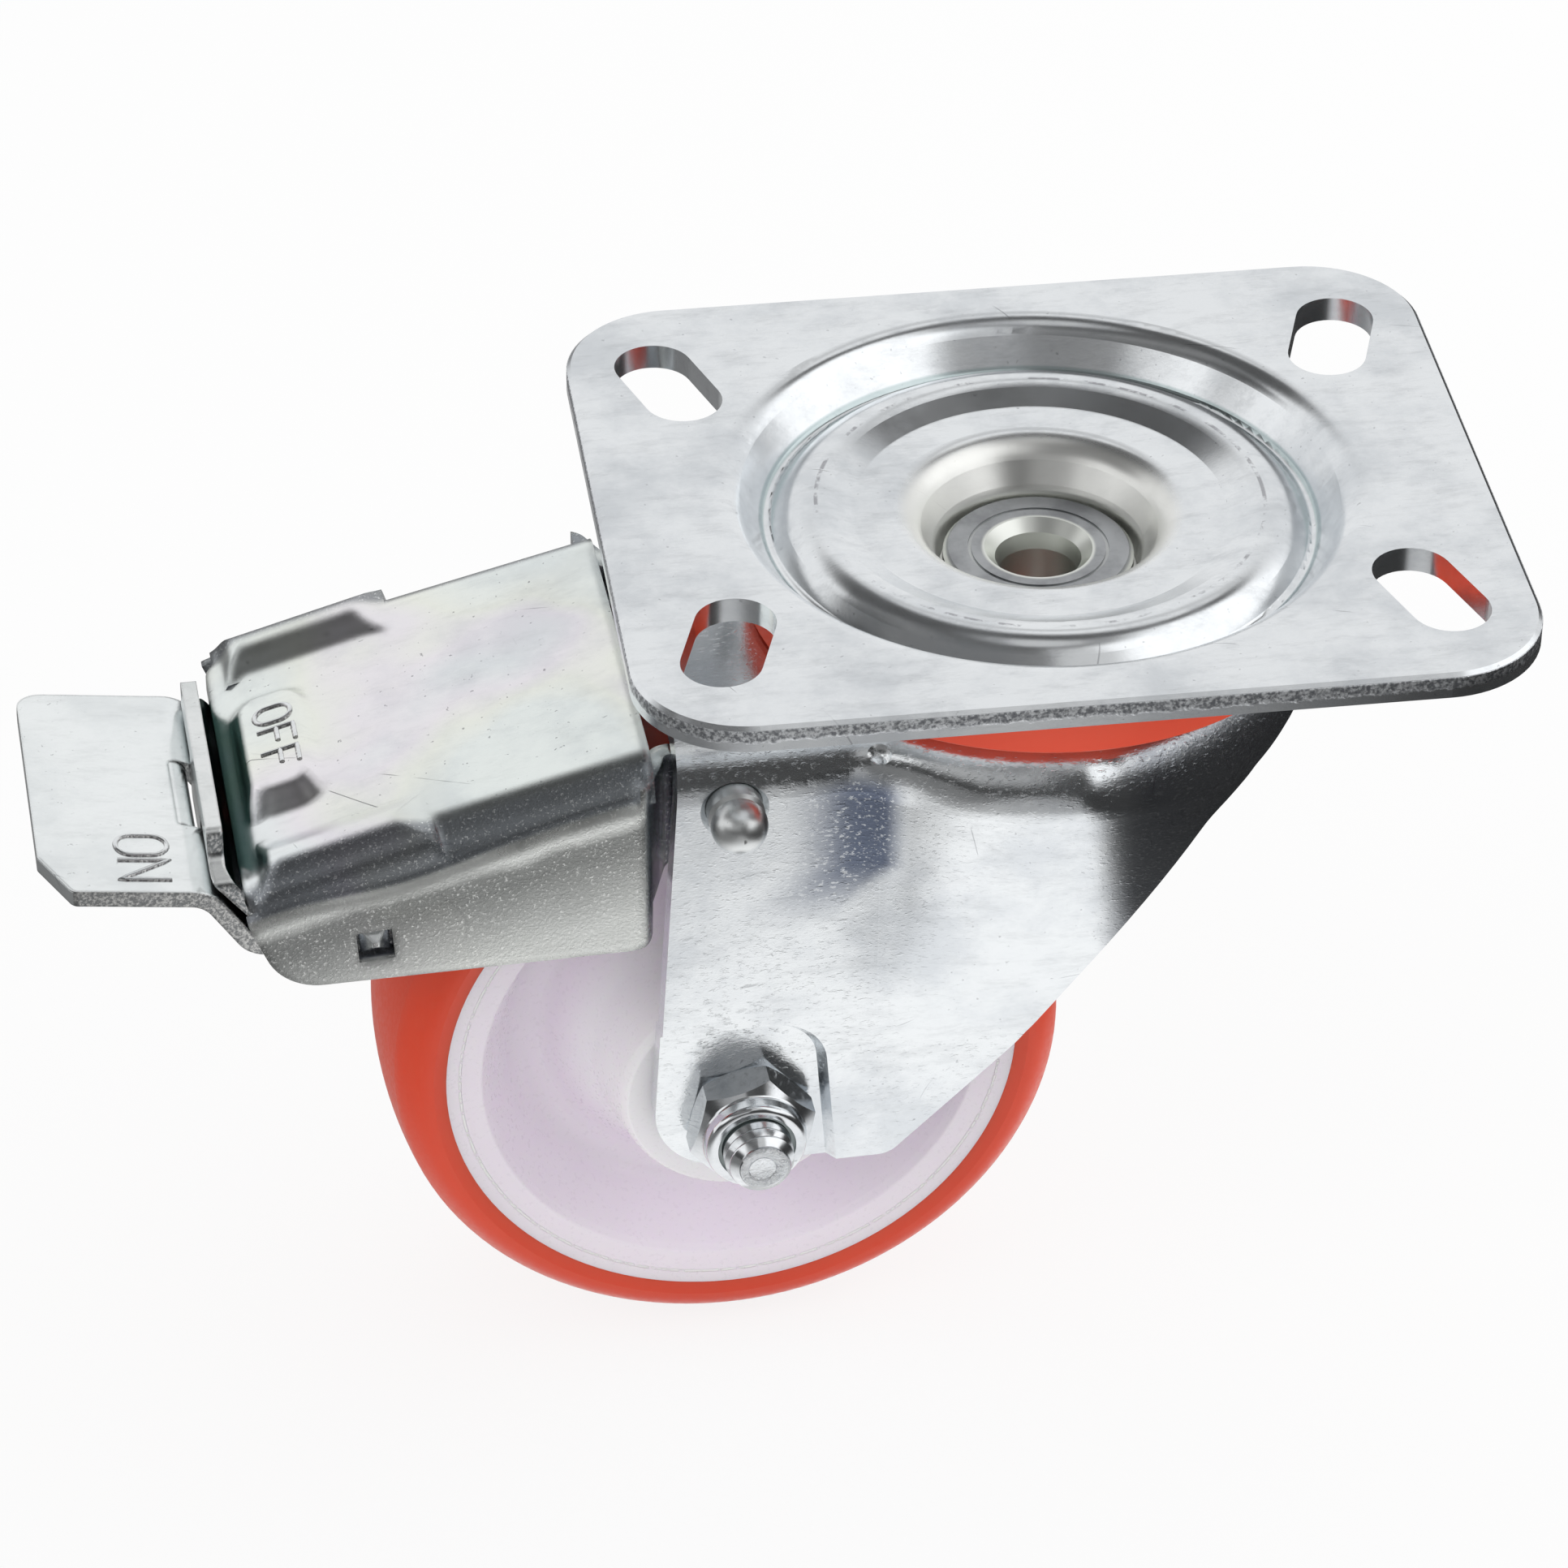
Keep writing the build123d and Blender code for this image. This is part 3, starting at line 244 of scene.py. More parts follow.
# ---- Top plate, lower race and kingpin ----
# The plate is blanked and pressed from 3 mm steel and bright zinc plated. Its top is smooth, with
# fine scuffs from handling, and its blanked edge is half shiny shear and half grey torn metal.
plate_half_length, plate_half_width, plate_corner = 0.050, 0.0425, 0.0125
# how far inside the edge its own finish starts and is full, the depths between which shear gives way
# to torn metal, and how much that line wanders
edge_fade, tear_depth, tear_wander = (0.00012, 0.00004), (-0.0014, -0.0009), 0.0012
# circles on the top: radius and half width
worn_circle, valley_circle = (0.0252, 0.00030), (0.0313, 0.00040)
funnel_rim = 0.0145, 0.0165
edge_dark, edge_bright = (0.26, 0.27, 0.29), (0.84, 0.86, 0.88)
worn_grey, valley_painted_shade_green, funnel_cream = (0.28, 0.28, 0.30), (0.30, 0.42, 0.42), (0.86, 0.86, 0.825)
scuff_grey = (0.16, 0.165, 0.18)
# the fork and all that it carries are turned this far from the plate's long side, in degrees
fork_turn = 2.1
# a material, and the sockets of its colour, roughness and relief; larger forms go in under the waves
Finish = namedtuple("Finish", "mat tree shader colour level normal under")


def texture_space(tree, stretch=(1, 1, 1), turn=0.0):
    coords = tree.nodes.new("ShaderNodeTexCoord").outputs["Object"]
    mapping = tree.nodes.new("ShaderNodeMapping")
    mapping.vector_type = "POINT"
    mapping.inputs["Scale"].default_value = stretch
    if turn:
        rotate = tree.nodes.new("ShaderNodeMapping")
        rotate.inputs["Rotation"].default_value = (0, 0, radians(turn))
        link(tree, coords, rotate.inputs["Vector"])
        coords = rotate.outputs["Vector"]
    link(tree, coords, mapping.inputs["Vector"])
    return mapping.outputs["Vector"]


def grain(tree, vector, scale, detail=3.0, rough=0.55):
    node = tree.nodes.new("ShaderNodeTexNoise")
    node.inputs["Scale"].default_value = scale
    node.inputs["Detail"].default_value = detail
    node.inputs["Roughness"].default_value = rough
    link(tree, vector, node.inputs["Vector"])
    return node.outputs["Fac"]


def relief(tree, height, distance, before=None):
    node = tree.nodes.new("ShaderNodeBump")
    node.inputs["Strength"].default_value = 1.0
    node.inputs["Distance"].default_value = distance
    link(tree, height, node.inputs["Height"])
    if before is not None:
        link(tree, before, node.inputs["Normal"])
    return node.outputs["Normal"]


def blend_colour(tree, factor, first, second, how="MIX"):
    node = tree.nodes.new("ShaderNodeMix")
    node.data_type = "RGBA"
    node.blend_type = how
    sockets = [s for s in node.inputs if s.enabled]
    feed(tree, factor, sockets[0])
    for socket, colour in zip(sockets[1:], (first, second)):
        feed(tree, (*colour, 1) if isinstance(colour, (tuple, list)) else colour, socket)
    return [s for s in node.outputs if s.enabled][0]


def new_finish(name, metallic=1.0):
    mat = bpy.data.materials.new(name)
    mat.use_nodes = True
    shader = mat.node_tree.nodes["Principled BSDF"]
    shader.inputs["Metallic"].default_value = metallic
    return mat, mat.node_tree, shader


def thin_line(tree, value, place, half_width):
    away = maths(tree, "ABSOLUTE", maths(tree, "SUBTRACT", value, place))
    return ease(tree, away, half_width * 0.4, half_width, 1.0, 0.0)


def hairlines(tree, scale, stretch, turn, width, where):
    """Thin wandering scratches: the contour lines of a noise, kept only in a few places."""
    wandering = grain(tree, texture_space(tree, stretch, turn), scale, 0.0)
    patches = grain(tree, texture_space(tree, turn=turn), 95, 2.0)
    return product(tree, thin_line(tree, wandering, 0.5, width), ease(tree, patches, where, where + 0.05))


def lathe_rings(tree, radius, scale, detail, rough):
    rings = tree.nodes.new("ShaderNodeCombineXYZ")
    link(tree, radius, rings.inputs[0])
    return grain(tree, rings.outputs[0], scale, detail, rough)


def plated(name, bright, dark, rough, fine, dash=0.0, wave=1.0e-5, stain=0.30, scuff=0.30, round_off=0.0):
    """Zinc-plated steel: a fine sparkle, raised dashes, waves in the sheet, smudges and scuffs.

    fine, dash and wave are heights, and round_off is a radius, in metres."""
    mat, tree, shader = new_finish(name)
    drawn = -fork_turn
    smudge = ease(tree, grain(tree, texture_space(tree, turn=drawn), 48, 9.0, 0.68), 0.40, 0.66)
    streaks = grain(tree, texture_space(tree, (0.30, 1, 1), drawn), 420, 7.0, 0.75)
    streaks = ease(tree, streaks, 0.46, 0.74)
    pits = ease(tree, grain(tree, texture_space(tree), 1500, 2.0, 0.5), 0.70, 0.76)
    scratches = maths(
        tree, "MAXIMUM",
        hairlines(tree, 34, (0.25, 1.8, 1), 18, 0.0026, 0.60),
        hairlines(tree, 40, (1.7, 0.3, 1), -24, 0.0030, 0.62))
    marks = maths(tree, "MAXIMUM", scratches, product(tree, pits, 0.8))
    colour = blend_colour(tree, smudge, bright, dark)
    colour = blend_colour(tree, product(tree, streaks, stain), colour, [c * 0.60 for c in dark])
    colour = blend_colour(tree, product(tree, marks, scuff), colour, scuff_grey)
    link(tree, colour, shader.inputs["Base Color"])
    level = total(tree, product(tree, smudge, 0.08), rough, product(tree, streaks, 0.10 * stain))
    link(tree, level, shader.inputs["Roughness"])
    rounded = None
    if round_off:
        soft = tree.nodes.new("ShaderNodeBevel")
        soft.samples = 4
        soft.inputs["Radius"].default_value = round_off
        rounded = soft.outputs["Normal"]
    normal = relief(tree, grain(tree, texture_space(tree, turn=9), 120, 2.0, 0.4), wave, rounded)
    under = normal.node.inputs["Normal"]
    sparkle = grain(tree, texture_space(tree, (0.6, 1, 1), drawn), 3600, 3.0, 0.6)
    normal = relief(tree, sparkle, fine, normal)
    if dash:
        raised = grain(tree, texture_space(tree, (0.50, 1, 1), drawn), 2300, 3.0, 0.6)
        normal = relief(tree, ease(tree, raised, 0.54, 0.74), dash, normal)
    link(tree, normal, shader.inputs["Normal"])
    return Finish(mat, tree, shader, colour, level, normal, under)


def dress(mat, *names):
    for name in names:
        materials = nodes[name].data.materials
        materials.clear()
        materials.append(mat)


plate = plated(
    "bright_zinc_plate", (0.84, 0.865, 0.885), (0.69, 0.72, 0.75), rough=0.17, fine=3.0e-6,
    wave=0.8e-5, scuff=0.40)
tree, shader = plate.tree, plate.shader
x, y, z = split(tree, texture_space(tree))
radius = from_axis(tree, x, y)
# distance out to the blanked edge, which is a rounded rectangle
over = [
    maths(tree, "MAXIMUM", maths(tree, "SUBTRACT", maths(tree, "ABSOLUTE", along), half - plate_corner), 0.0)
    for along, half in ((x, plate_half_length), (y, plate_half_width))
]
edge = ease(tree, from_axis(tree, *over), *[plate_corner - inside for inside in edge_fade])
tear_line = total(tree, z, product(tree, grain(tree, texture_space(tree), 900), tear_wander))
torn = product(tree, edge, ease(tree, tear_line, *tear_depth))
edge_grain = grain(tree, texture_space(tree), 2100, 4.0, 0.7)
edge_colour = blend_colour(tree, ease(tree, edge_grain, 0.40, 0.62), edge_dark, edge_bright)
colour = blend_colour(tree, torn, plate.colour, edge_colour)
# a worn grey circle on the flat ring, and a darker greenish line painted along the valley as painted shade in
# the recess
patchy = ease(tree, grain(tree, texture_space(tree), 230, 5.0, 0.7), 0.50, 0.60)
worn = product(tree, thin_line(tree, radius, *worn_circle), patchy, 0.7)
colour = blend_colour(tree, worn, colour, worn_grey)
valley_painted_shade = product(tree, thin_line(tree, radius, *valley_circle), 0.55)
colour = blend_colour(tree, valley_painted_shade, colour, valley_painted_shade_green)
# the funnel round the kingpin is duller and creamier than the rest
funnel = ease(tree, radius, *funnel_rim, 1.0, 0.0)
colour = blend_colour(tree, product(tree, funnel, 0.8), colour, funnel_cream)
link(tree, colour, shader.inputs["Base Color"])
level = total(tree, plate.level, product(tree, torn, 0.30), product(tree, funnel, 0.16))
link(tree, level, shader.inputs["Roughness"])
normal = relief(tree, lathe_rings(tree, radius, 2600, 2.0, 0.6), 1.0e-6, plate.normal)
normal = relief(tree, product(tree, edge_grain, torn), 6e-5, normal)
link(tree, normal, shader.inputs["Normal"])
dress(plate.mat, "top_plate", "lower_race")

# The kingpin is a turned and hollow-riveted pin; its face is dull and grey with faint lathe rings.
pin_face_depth = -0.0089, -0.0086
pin_face_inside = 0.0062, 0.0066
pin_face_light, pin_face_dark, pin_side = (0.44, 0.455, 0.47), (0.31, 0.32, 0.335), (0.80, 0.82, 0.78)
pin_grey, tree, shader = new_finish("turned_grey_steel")
x, y, z = split(tree, texture_space(tree))
radius = from_axis(tree, x, y)
stain = grain(tree, texture_space(tree), 160, 5.0, 0.6)
face = product(tree, ease(tree, z, *pin_face_depth), ease(tree, radius, *pin_face_inside))
colour = blend_colour(tree, ease(tree, stain, 0.38, 0.66), pin_face_light, pin_face_dark)
link(tree, blend_colour(tree, face, pin_side, colour), shader.inputs["Base Color"])
link(tree, total(tree, product(tree, stain, 0.2), 0.24), shader.inputs["Roughness"])
turned = lathe_rings(tree, radius, 3800, 3.0, 0.7)
link(tree, relief(tree, turned, 2.5e-6), shader.inputs["Normal"])
dress(pin_grey, "kingpin")

# Hardened balls in grease, hidden in the two races.
bare_steel, greased_steel = (0.62, 0.61, 0.58), (0.48, 0.44, 0.36)
ball_steel, tree, shader = new_finish("greased_ball_steel")
film = grain(tree, texture_space(tree), 500, 3.0, 0.5)
link(tree, blend_colour(tree, film, bare_steel, greased_steel), shader.inputs["Base Color"])
link(tree, ease(tree, film, 0.3, 0.7, 0.12, 0.35), shader.inputs["Roughness"])
dress(ball_steel, "upper_balls", "lower_balls")

# ---- Fork ----
# The fork is deep drawn from 3 mm steel and zinc plated. Drawing has left raised dashes along the
# legs, a hollow beside the brake pin, a swelling in the middle, and a flank away from the brake that
# turns inwards.
# The dark reflections in the hollow and on that flank are painted into the fork's colour.
leg_inner, leg_outer = 0.0185, 0.0205
# each bend of the sheet: where it starts along the leg, its length and the slope that it adds
hollow_bends = ((-0.0325, 0.011, -0.20), (-0.0215, 0.0020, 0.42), (-0.0170, 0.006, -0.22))
hollow_foot, hollow_head = (-0.052, -0.030), (-0.0225, -0.0165)
flank_bend, flank_lean = (-0.0045, 0.006, -0.52), 0.12
# where the flank's painted dark reflection starts and is full, how much that wanders, and how dark it is
# painted
flank_start, flank_end, flank_wander, flank_dark = 0.0035, 0.0085, 0.004, 0.42
# a dark patch, a painted dark reflection, lies in the hollow and leans towards the brake below the pin
patch_rear, patch_front = (-0.0345, -0.0250), (-0.0226, -0.0196)
patch_foot, patch_head = (-0.0405, -0.0305), (-0.0215, -0.0180)
patch_bend_depth, patch_lean, patch_dark = -0.031, 0.86, 0.95
painted_dark_reflection = (0.11, 0.135, 0.20)


def bend(tree, along, start, length, slope):
    """Height of a sheet that turns by a slope over a length, and then runs on straight."""
    beyond = maths(tree, "MAXIMUM", maths(tree, "SUBTRACT", along, start), 0.0)
    turning = maths(tree, "MINIMUM", beyond, length)
    curved = product(tree, turning, turning, slope / (2 * length))
    return total(tree, curved, product(tree, maths(tree, "SUBTRACT", beyond, turning), slope))


fork = plated(
    "drawn_zinc_fork", (0.84, 0.865, 0.88), (0.71, 0.74, 0.77), rough=0.16, fine=1.5e-5,
    dash=1.7e-5, wave=1.6e-5, stain=0.28, scuff=0.40)
tree = fork.tree
x, y, z = split(tree, texture_space(tree, turn=-fork_turn))
leg = ease(tree, maths(tree, "ABSOLUTE", y), leg_inner, leg_outer)
hollow = total(tree, *[bend(tree, x, *one) for one in hollow_bends])
hollow = product(tree, hollow, between(tree, z, hollow_foot, hollow_head))
flank = bend(tree, total(tree, x, product(tree, z, flank_lean)), *flank_bend)
height = product(tree, total(tree, hollow, flank), leg)
link(tree, relief(tree, height, 1.0), fork.under)
# painted dark reflection: the patch in the hollow and the flank that turns away are darkened in the colour
below = maths(tree, "MAXIMUM", maths(tree, "SUBTRACT", patch_bend_depth, z), 0.0)
across = total(tree, x, product(tree, below, patch_lean))
patch = between(tree, across, patch_rear, patch_front)
patch = product(tree, patch, between(tree, z, patch_foot, patch_head), patch_dark)
wander = product(tree, grain(tree, texture_space(tree), 130, 3.0), flank_wander)
flank_painted_dark = product(tree, ease(tree, total(tree, x, wander), flank_start, flank_end), flank_dark)
# bright specks are left in the painted dark reflection
specks = grain(tree, texture_space(tree, (0.6, 1, 1), -fork_turn), 2900, 3.0, 0.6)
shaded = product(
    tree, maths(tree, "MAXIMUM", patch, flank_painted_dark), leg, ease(tree, specks, 0.56, 0.66, 1.0, 0.35))
link(tree, blend_colour(tree, shaded, fork.colour, painted_dark_reflection), fork.shader.inputs["Base Color"])
dress(fork.mat, "fork")

# ---- Dust seal ----
# A soft orange-red ring that keeps dirt out of the upper ball race. It is moulded, with a fine satin
# skin, and snapped round the race.


def moulded(name, cloud, tones, skin, gloss, height, scatter, depth):
    """Plastic: two close tones in clouds, a fine skin, and light that scatters below it."""
    mat, tree, shader = new_finish(name, 0.0)
    colour = blend_colour(tree, grain(tree, texture_space(tree), cloud, 3.0, 0.5), *tones)
    link(tree, colour, shader.inputs["Base Color"])
    skin = grain(tree, texture_space(tree), *skin, 0.6)
    level = ease(tree, skin, 0.3, 0.7, *gloss)
    link(tree, level, shader.inputs["Roughness"])
    normal = relief(tree, skin, height)
    link(tree, normal, shader.inputs["Normal"])
    shader.inputs["Subsurface Weight"].default_value = scatter
    shader.inputs["Subsurface Radius"].default_value = depth
    shader.inputs["Subsurface Scale"].default_value = 1.0
    return Finish(mat, tree, shader, colour, level, normal, None)


seal = moulded(
    "orange_seal", cloud=60, tones=((0.93, 0.10, 0.042), (0.86, 0.072, 0.028)), skin=(2400, 3.0),
    gloss=(0.36, 0.48), height=8e-6, scatter=0.25, depth=(0.0030, 0.0008, 0.0004))
dress(seal.mat, "dust_seal")

# ---- Wheel ----
# The centre is injection-moulded nylon, pale lilac white and faintly translucent, with a fine flash
# line near its rim. The tyre is orange-red polyurethane cast on it, satin, darker where it is thick.
axle_ahead, axle_depth = 0.0373, 0.0665
flash_line, flash_height = (0.0318, 0.00022), 1.2e-4
hub_edge = 0.0150, 0.0200
hub_white, flash_white = (0.95, 0.93, 0.97), (0.97, 0.95, 0.97)
centre = moulded(
    "pale_nylon", cloud=45, tones=((0.95, 0.875, 0.965), (0.915, 0.84, 0.94)), skin=(1800, 3.0),
    gloss=(0.26, 0.36), height=2.5e-6, scatter=0.35, depth=(0.0040, 0.0030, 0.0045))
tree, shader = centre.tree, centre.shader
x, _, z = split(tree, texture_space(tree, turn=-fork_turn))
radius = from_axis(tree, total(tree, x, axle_ahead), total(tree, z, axle_depth))
ragged = ease(tree, grain(tree, texture_space(tree), 1400, 3.0, 0.6), 0.35, 0.50)
flash = product(tree, thin_line(tree, radius, *flash_line), ragged)
colour = blend_colour(tree, ease(tree, radius, *hub_edge, 1.0, 0.0), centre.colour, hub_white)
link(tree, blend_colour(tree, flash, colour, flash_white), shader.inputs["Base Color"])
link(tree, relief(tree, flash, flash_height, centre.normal), shader.inputs["Normal"])
dress(centre.mat, "wheel_centre")

tyre = moulded(
    "orange_polyurethane", cloud=35, tones=((0.79, 0.076, 0.026), (0.69, 0.054, 0.018)),
    skin=(1500, 4.0), gloss=(0.30, 0.42), height=5e-6, scatter=0.30, depth=(0.0035, 0.0007, 0.0003))
dress(tyre.mat, "wheel_tread")

# ---- Axle bolt, lock nut and tube ----
# An M8 bolt goes through the tube from the far side, and its rolled thread stands out of a hexagon
# lock nut with a nylon ring. They are bright plated and shinier than the pressings.
thread_pitch = 0.00125
thread_crest, thread_root = 0.0040, 0.0033
thread_start, thread_end = 0.0278, 0.0342
tip_taper, tip_narrowing = 0.0024, 0.27
tip_dome, tip_dome_edge = 0.0003, 0.0009
sheared_end = -0.0340, -0.0338
# one pitch of the thread: share of the pitch, and radius there
thread_outline = (
    (0.0, thread_root),
    (0.08, thread_root),
    (0.46, thread_crest),
    (0.62, thread_crest),
    (1.0, thread_root),
)
steps_per_turn = 40
same_place = 2e-6
axle_place = Matrix.Rotation(radians(fork_turn), 4, "Z") @ Matrix.Translation((-axle_ahead, 0, -axle_depth))

nut = plated(
    "fastener_zinc", (0.78, 0.80, 0.82), (0.60, 0.63, 0.66), rough=0.12, fine=2.5e-6,
    wave=1.4e-5, stain=0.25, scuff=0.35)
dress(nut.mat, "axle_nut", "axle_tube")
pin = plated(
    "headed_pin_zinc", (0.80, 0.82, 0.82), (0.64, 0.66, 0.67), rough=0.34, fine=5e-6,
    wave=0.3e-5, stain=0.25, scuff=0.35)
dress(pin.mat, "brake_pivot_pin")

# the head and the shank keep the solid's shape, cut off inside the nut
bm = bmesh.new()
bm.from_mesh(nodes["axle_bolt"].data)
bmesh.ops.remove_doubles(bm, verts=bm.verts, dist=1e-7)
cut = bmesh.ops.bisect_plane(
    bm,
    geom=bm.verts[:] + bm.edges[:] + bm.faces[:],
    plane_co=axle_place @ Vector((0, -thread_start, 0)),
    plane_no=axle_place.to_3x3() @ Vector((0, -1, 0)),
    clear_outer=True,
)
bmesh.ops.holes_fill(bm, edges=[e for e in cut["geom_cut"] if isinstance(e, bmesh.types.BMEdge)], sides=0)

# the thread: its outline wound round the axis, from a turn and a half inside the nut
turns = int((thread_end - thread_start) / thread_pitch) + 3
thread = bmesh.new()
points = [
    thread.verts.new((0, -(thread_start + (share - 1.5) * thread_pitch), reach))
    for share, reach in thread_outline
]
edges = [thread.edges.new(pair) for pair in zip(points, points[1:])]
bmesh.ops.spin(
    thread,
    geom=points + edges,
    cent=(0, 0, 0),
    axis=(0, -1, 0),
    dvec=(0, -thread_pitch / steps_per_turn, 0),
    angle=2 * pi * turns,
    steps=steps_per_turn * turns,
    use_duplicate=False,
)
bmesh.ops.remove_doubles(thread, verts=thread.verts, dist=same_place)
# what winds past either end is gathered into a plain ring there, and the tip is tapered
for vert in thread.verts:
    along = min(max(-vert.co.y, thread_start), thread_end)
    reach = Vector((vert.co.x, 0, vert.co.z))
    if along != -vert.co.y:
        reach *= thread_root / reach.length
    into_tip = max(0.0, along - (thread_end - tip_taper)) / tip_taper
    reach *= 1 - tip_narrowing * into_tip * into_tip
    vert.co = (reach.x, -along, reach.z)
bmesh.ops.remove_doubles(thread, verts=thread.verts, dist=same_place)
bmesh.ops.dissolve_degenerate(thread, edges=thread.edges, dist=same_place)
bmesh.ops.holes_fill(thread, edges=[e for e in thread.edges if e.is_boundary], sides=0)
tips = [f for f in thread.faces if len(f.verts) > 8 and f.calc_center_median().y < -thread_end + 1e-5]
bmesh.ops.inset_individual(thread, faces=tips, thickness=tip_dome_edge, depth=tip_dome)
bmesh.ops.recalc_face_normals(thread, faces=thread.faces)
bmesh.ops.transform(thread, matrix=axle_place, verts=thread.verts)
thread_mesh = bpy.data.meshes.new("thread")
thread.to_mesh(thread_mesh)
thread.free()
bm.from_mesh(thread_mesh)
bpy.data.meshes.remove(thread_mesh)


def finish_piece(name, mesh, mat, body):
    mesh.materials.append(mat)
    piece = bpy.data.objects.new(name, mesh)
    scene.collection.objects.link(piece)
    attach(piece, body)
    return piece


def smooth_mesh(name, bm, sharp):
    mesh = bpy.data.meshes.new(name)
    bm.to_mesh(mesh)
    bm.free()
    mesh.shade_smooth()
    mesh.set_sharp_from_angle(angle=radians(sharp))
    return mesh


rolled = plated("thread_zinc", (0.80, 0.82, 0.84), (0.62, 0.65, 0.68), rough=0.14, fine=3e-6)
tree = rolled.tree
# the sheared end of the tip is crumpled
y = split(tree, texture_space(tree, turn=-fork_turn))[1]
sheared = ease(tree, y, *sheared_end, 1.0, 0.0)
crumpled = product(tree, grain(tree, texture_space(tree), 900, 5.0, 0.7), sheared)
link(tree, relief(tree, crumpled, 5e-4, rolled.normal), rolled.shader.inputs["Normal"])
bolt_mesh = smooth_mesh("threaded_bolt", bm, 48)
bolt = finish_piece("threaded_bolt", bolt_mesh, rolled.mat, "fork_body")
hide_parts("axle_bolt")

dusty_light, dusty_dark = (0.50, 0.56, 0.55), (0.33, 0.38, 0.38)
ring, tree, shader = new_finish("nut_nylon", 0.0)
dust = grain(tree, texture_space(tree), 900, 3.0, 0.5)
link(tree, blend_colour(tree, dust, dusty_light, dusty_dark), shader.inputs["Base Color"])
link(tree, ease(tree, dust, 0.3, 0.7, 0.35, 0.5), shader.inputs["Roughness"])
link(tree, relief(tree, dust, 6e-6), shader.inputs["Normal"])
dress(ring, "nut_insert")

# ---- Brake: cover, pedal, latch plate, shoe, spring and rivets ----
# Pressed from 2 mm steel. The passivated zinc has a faint pink and green bloom on its flat tops,
# and the side walls are coarse, grey and full of sparkle. Bands of painted shade and painted
# highlight run along the walls, and the folds and steep flanks are painted dark as painted shade.
bloom_bands = (
    (0.38, (0.97, 1.00, 0.99)),
    (0.47, (1.00, 1.00, 0.94)),
    (0.54, (1.00, 0.95, 1.00)),
    (0.63, (0.96, 0.98, 1.00)),
)
fold_start, wall_start = (0.0205, 0.0225), (0.0252, 0.0258)
# the crease over the wall falls towards the nose; painted shade and a painted highlight run along the wall in
# bands by the depth below the crease
crease_x, crease_depth, crease_fall = 0.0478, 0.0192, 0.2555
wall_depth, wall_wander = 0.0165, 0.0022
wall_tint = (0.98, 1.0, 0.97)
wall_painted_shades = (
    (0.02, 0.16), (0.10, 0.80), (0.17, 0.95), (0.26, 0.30), (0.38, 0.27), (0.62, 0.46), (0.95, 0.78))
wall_painted_bands = [(place, [shade * share for share in wall_tint]) for place, shade in wall_painted_shades]
wall_speck, fold_painted_dark, fold_speck = (0.90, 0.91, 0.89), (0.14, 0.155, 0.19), (0.80, 0.82, 0.84)
wall_share, fold_share, steep_share = 0.92, 0.72, 0.78


def banded(tree, value, bands):
    ramp = tree.nodes.new("ShaderNodeValToRGB")
    for place, _ in bands[2:]:
        ramp.color_ramp.elements.new(place)
    for element, (place, colour) in zip(ramp.color_ramp.elements, bands):
        element.position = place
        element.color = (*colour, 1)
    link(tree, value, ramp.inputs["Fac"])
    return ramp.outputs["Color"]


def facing(tree):
    """The way the surface faces, in the piece's own frame."""
    return split(tree, tree.nodes.new("ShaderNodeTexCoord").outputs["Normal"])


cover = plated(
    "bloomed_zinc_brake", (0.88, 0.90, 0.89), (0.80, 0.825, 0.835), rough=0.16, fine=3.0e-6,
    wave=1.2e-5, stain=0.16, scuff=0.75, round_off=0.0015)
tree, shader = cover.tree, cover.shader
bloom = banded(tree, grain(tree, texture_space(tree, turn=20), 34, 2.0, 0.5), bloom_bands)
colour = blend_colour(tree, 1.0, cover.colour, bloom, "MULTIPLY")
x, y, z = split(tree, texture_space(tree, turn=-fork_turn))
side = maths(tree, "ABSOLUTE", y)
wall = ease(tree, side, *wall_start)
fold = between(tree, side, fold_start, wall_start)
coarse = grain(tree, texture_space(tree), 2600, 4.0, 0.7)
# painted shade and a painted highlight in bands along the wall, by the depth below the crease
crease = product(tree, total(tree, x, crease_x), crease_fall)
below = maths(tree, "SUBTRACT", crease, total(tree, z, crease_depth))
uneven = product(tree, grain(tree, texture_space(tree), 150, 3.0), wall_wander)
reach = tree.nodes.new("ShaderNodeMapRange")
link(tree, total(tree, below, uneven), reach.inputs["Value"])
reach.inputs["From Min"].default_value, reach.inputs["From Max"].default_value = 0.0, wall_depth
specks = ease(tree, coarse, 0.55, 0.68)
wall_painted_colour = blend_colour(tree, specks, banded(tree, reach.outputs["Result"], wall_painted_bands), wall_speck)
colour = blend_colour(tree, product(tree, wall, wall_share), colour, wall_painted_colour)
# the fold is painted dark with light specks, as a painted dark reflection
fold_painted_colour = blend_colour(tree, specks, fold_painted_dark, fold_speck)
colour = blend_colour(tree, product(tree, fold, fold_share), colour, fold_painted_colour)
# the steep near flanks of the far rib and of the toe pad are painted as dark as the fold, as painted shade
_, lean_y, lean_z = facing(tree)
steep = product(
    tree,
    ease(tree, lean_z, 0.72, 0.90, 1.0, 0.0),
    ease(tree, lean_y, -0.42, -0.22, 1.0, 0.0),
    ease(tree, side, 0.0195, 0.0215, 1.0, 0.0))
colour = blend_colour(tree, product(tree, steep, steep_share), colour, fold_painted_colour)
link(tree, colour, shader.inputs["Base Color"])
rubbed = total(tree, wall, product(tree, total(tree, fold, steep), 0.6))
normal = relief(tree, product(tree, coarse, rubbed), 7.5e-5, cover.normal)
link(tree, normal, shader.inputs["Normal"])
link(tree, total(tree, cover.level, product(tree, wall, 0.08)), shader.inputs["Roughness"])
dress(cover.mat, "brake_cover", "brake_shoe")

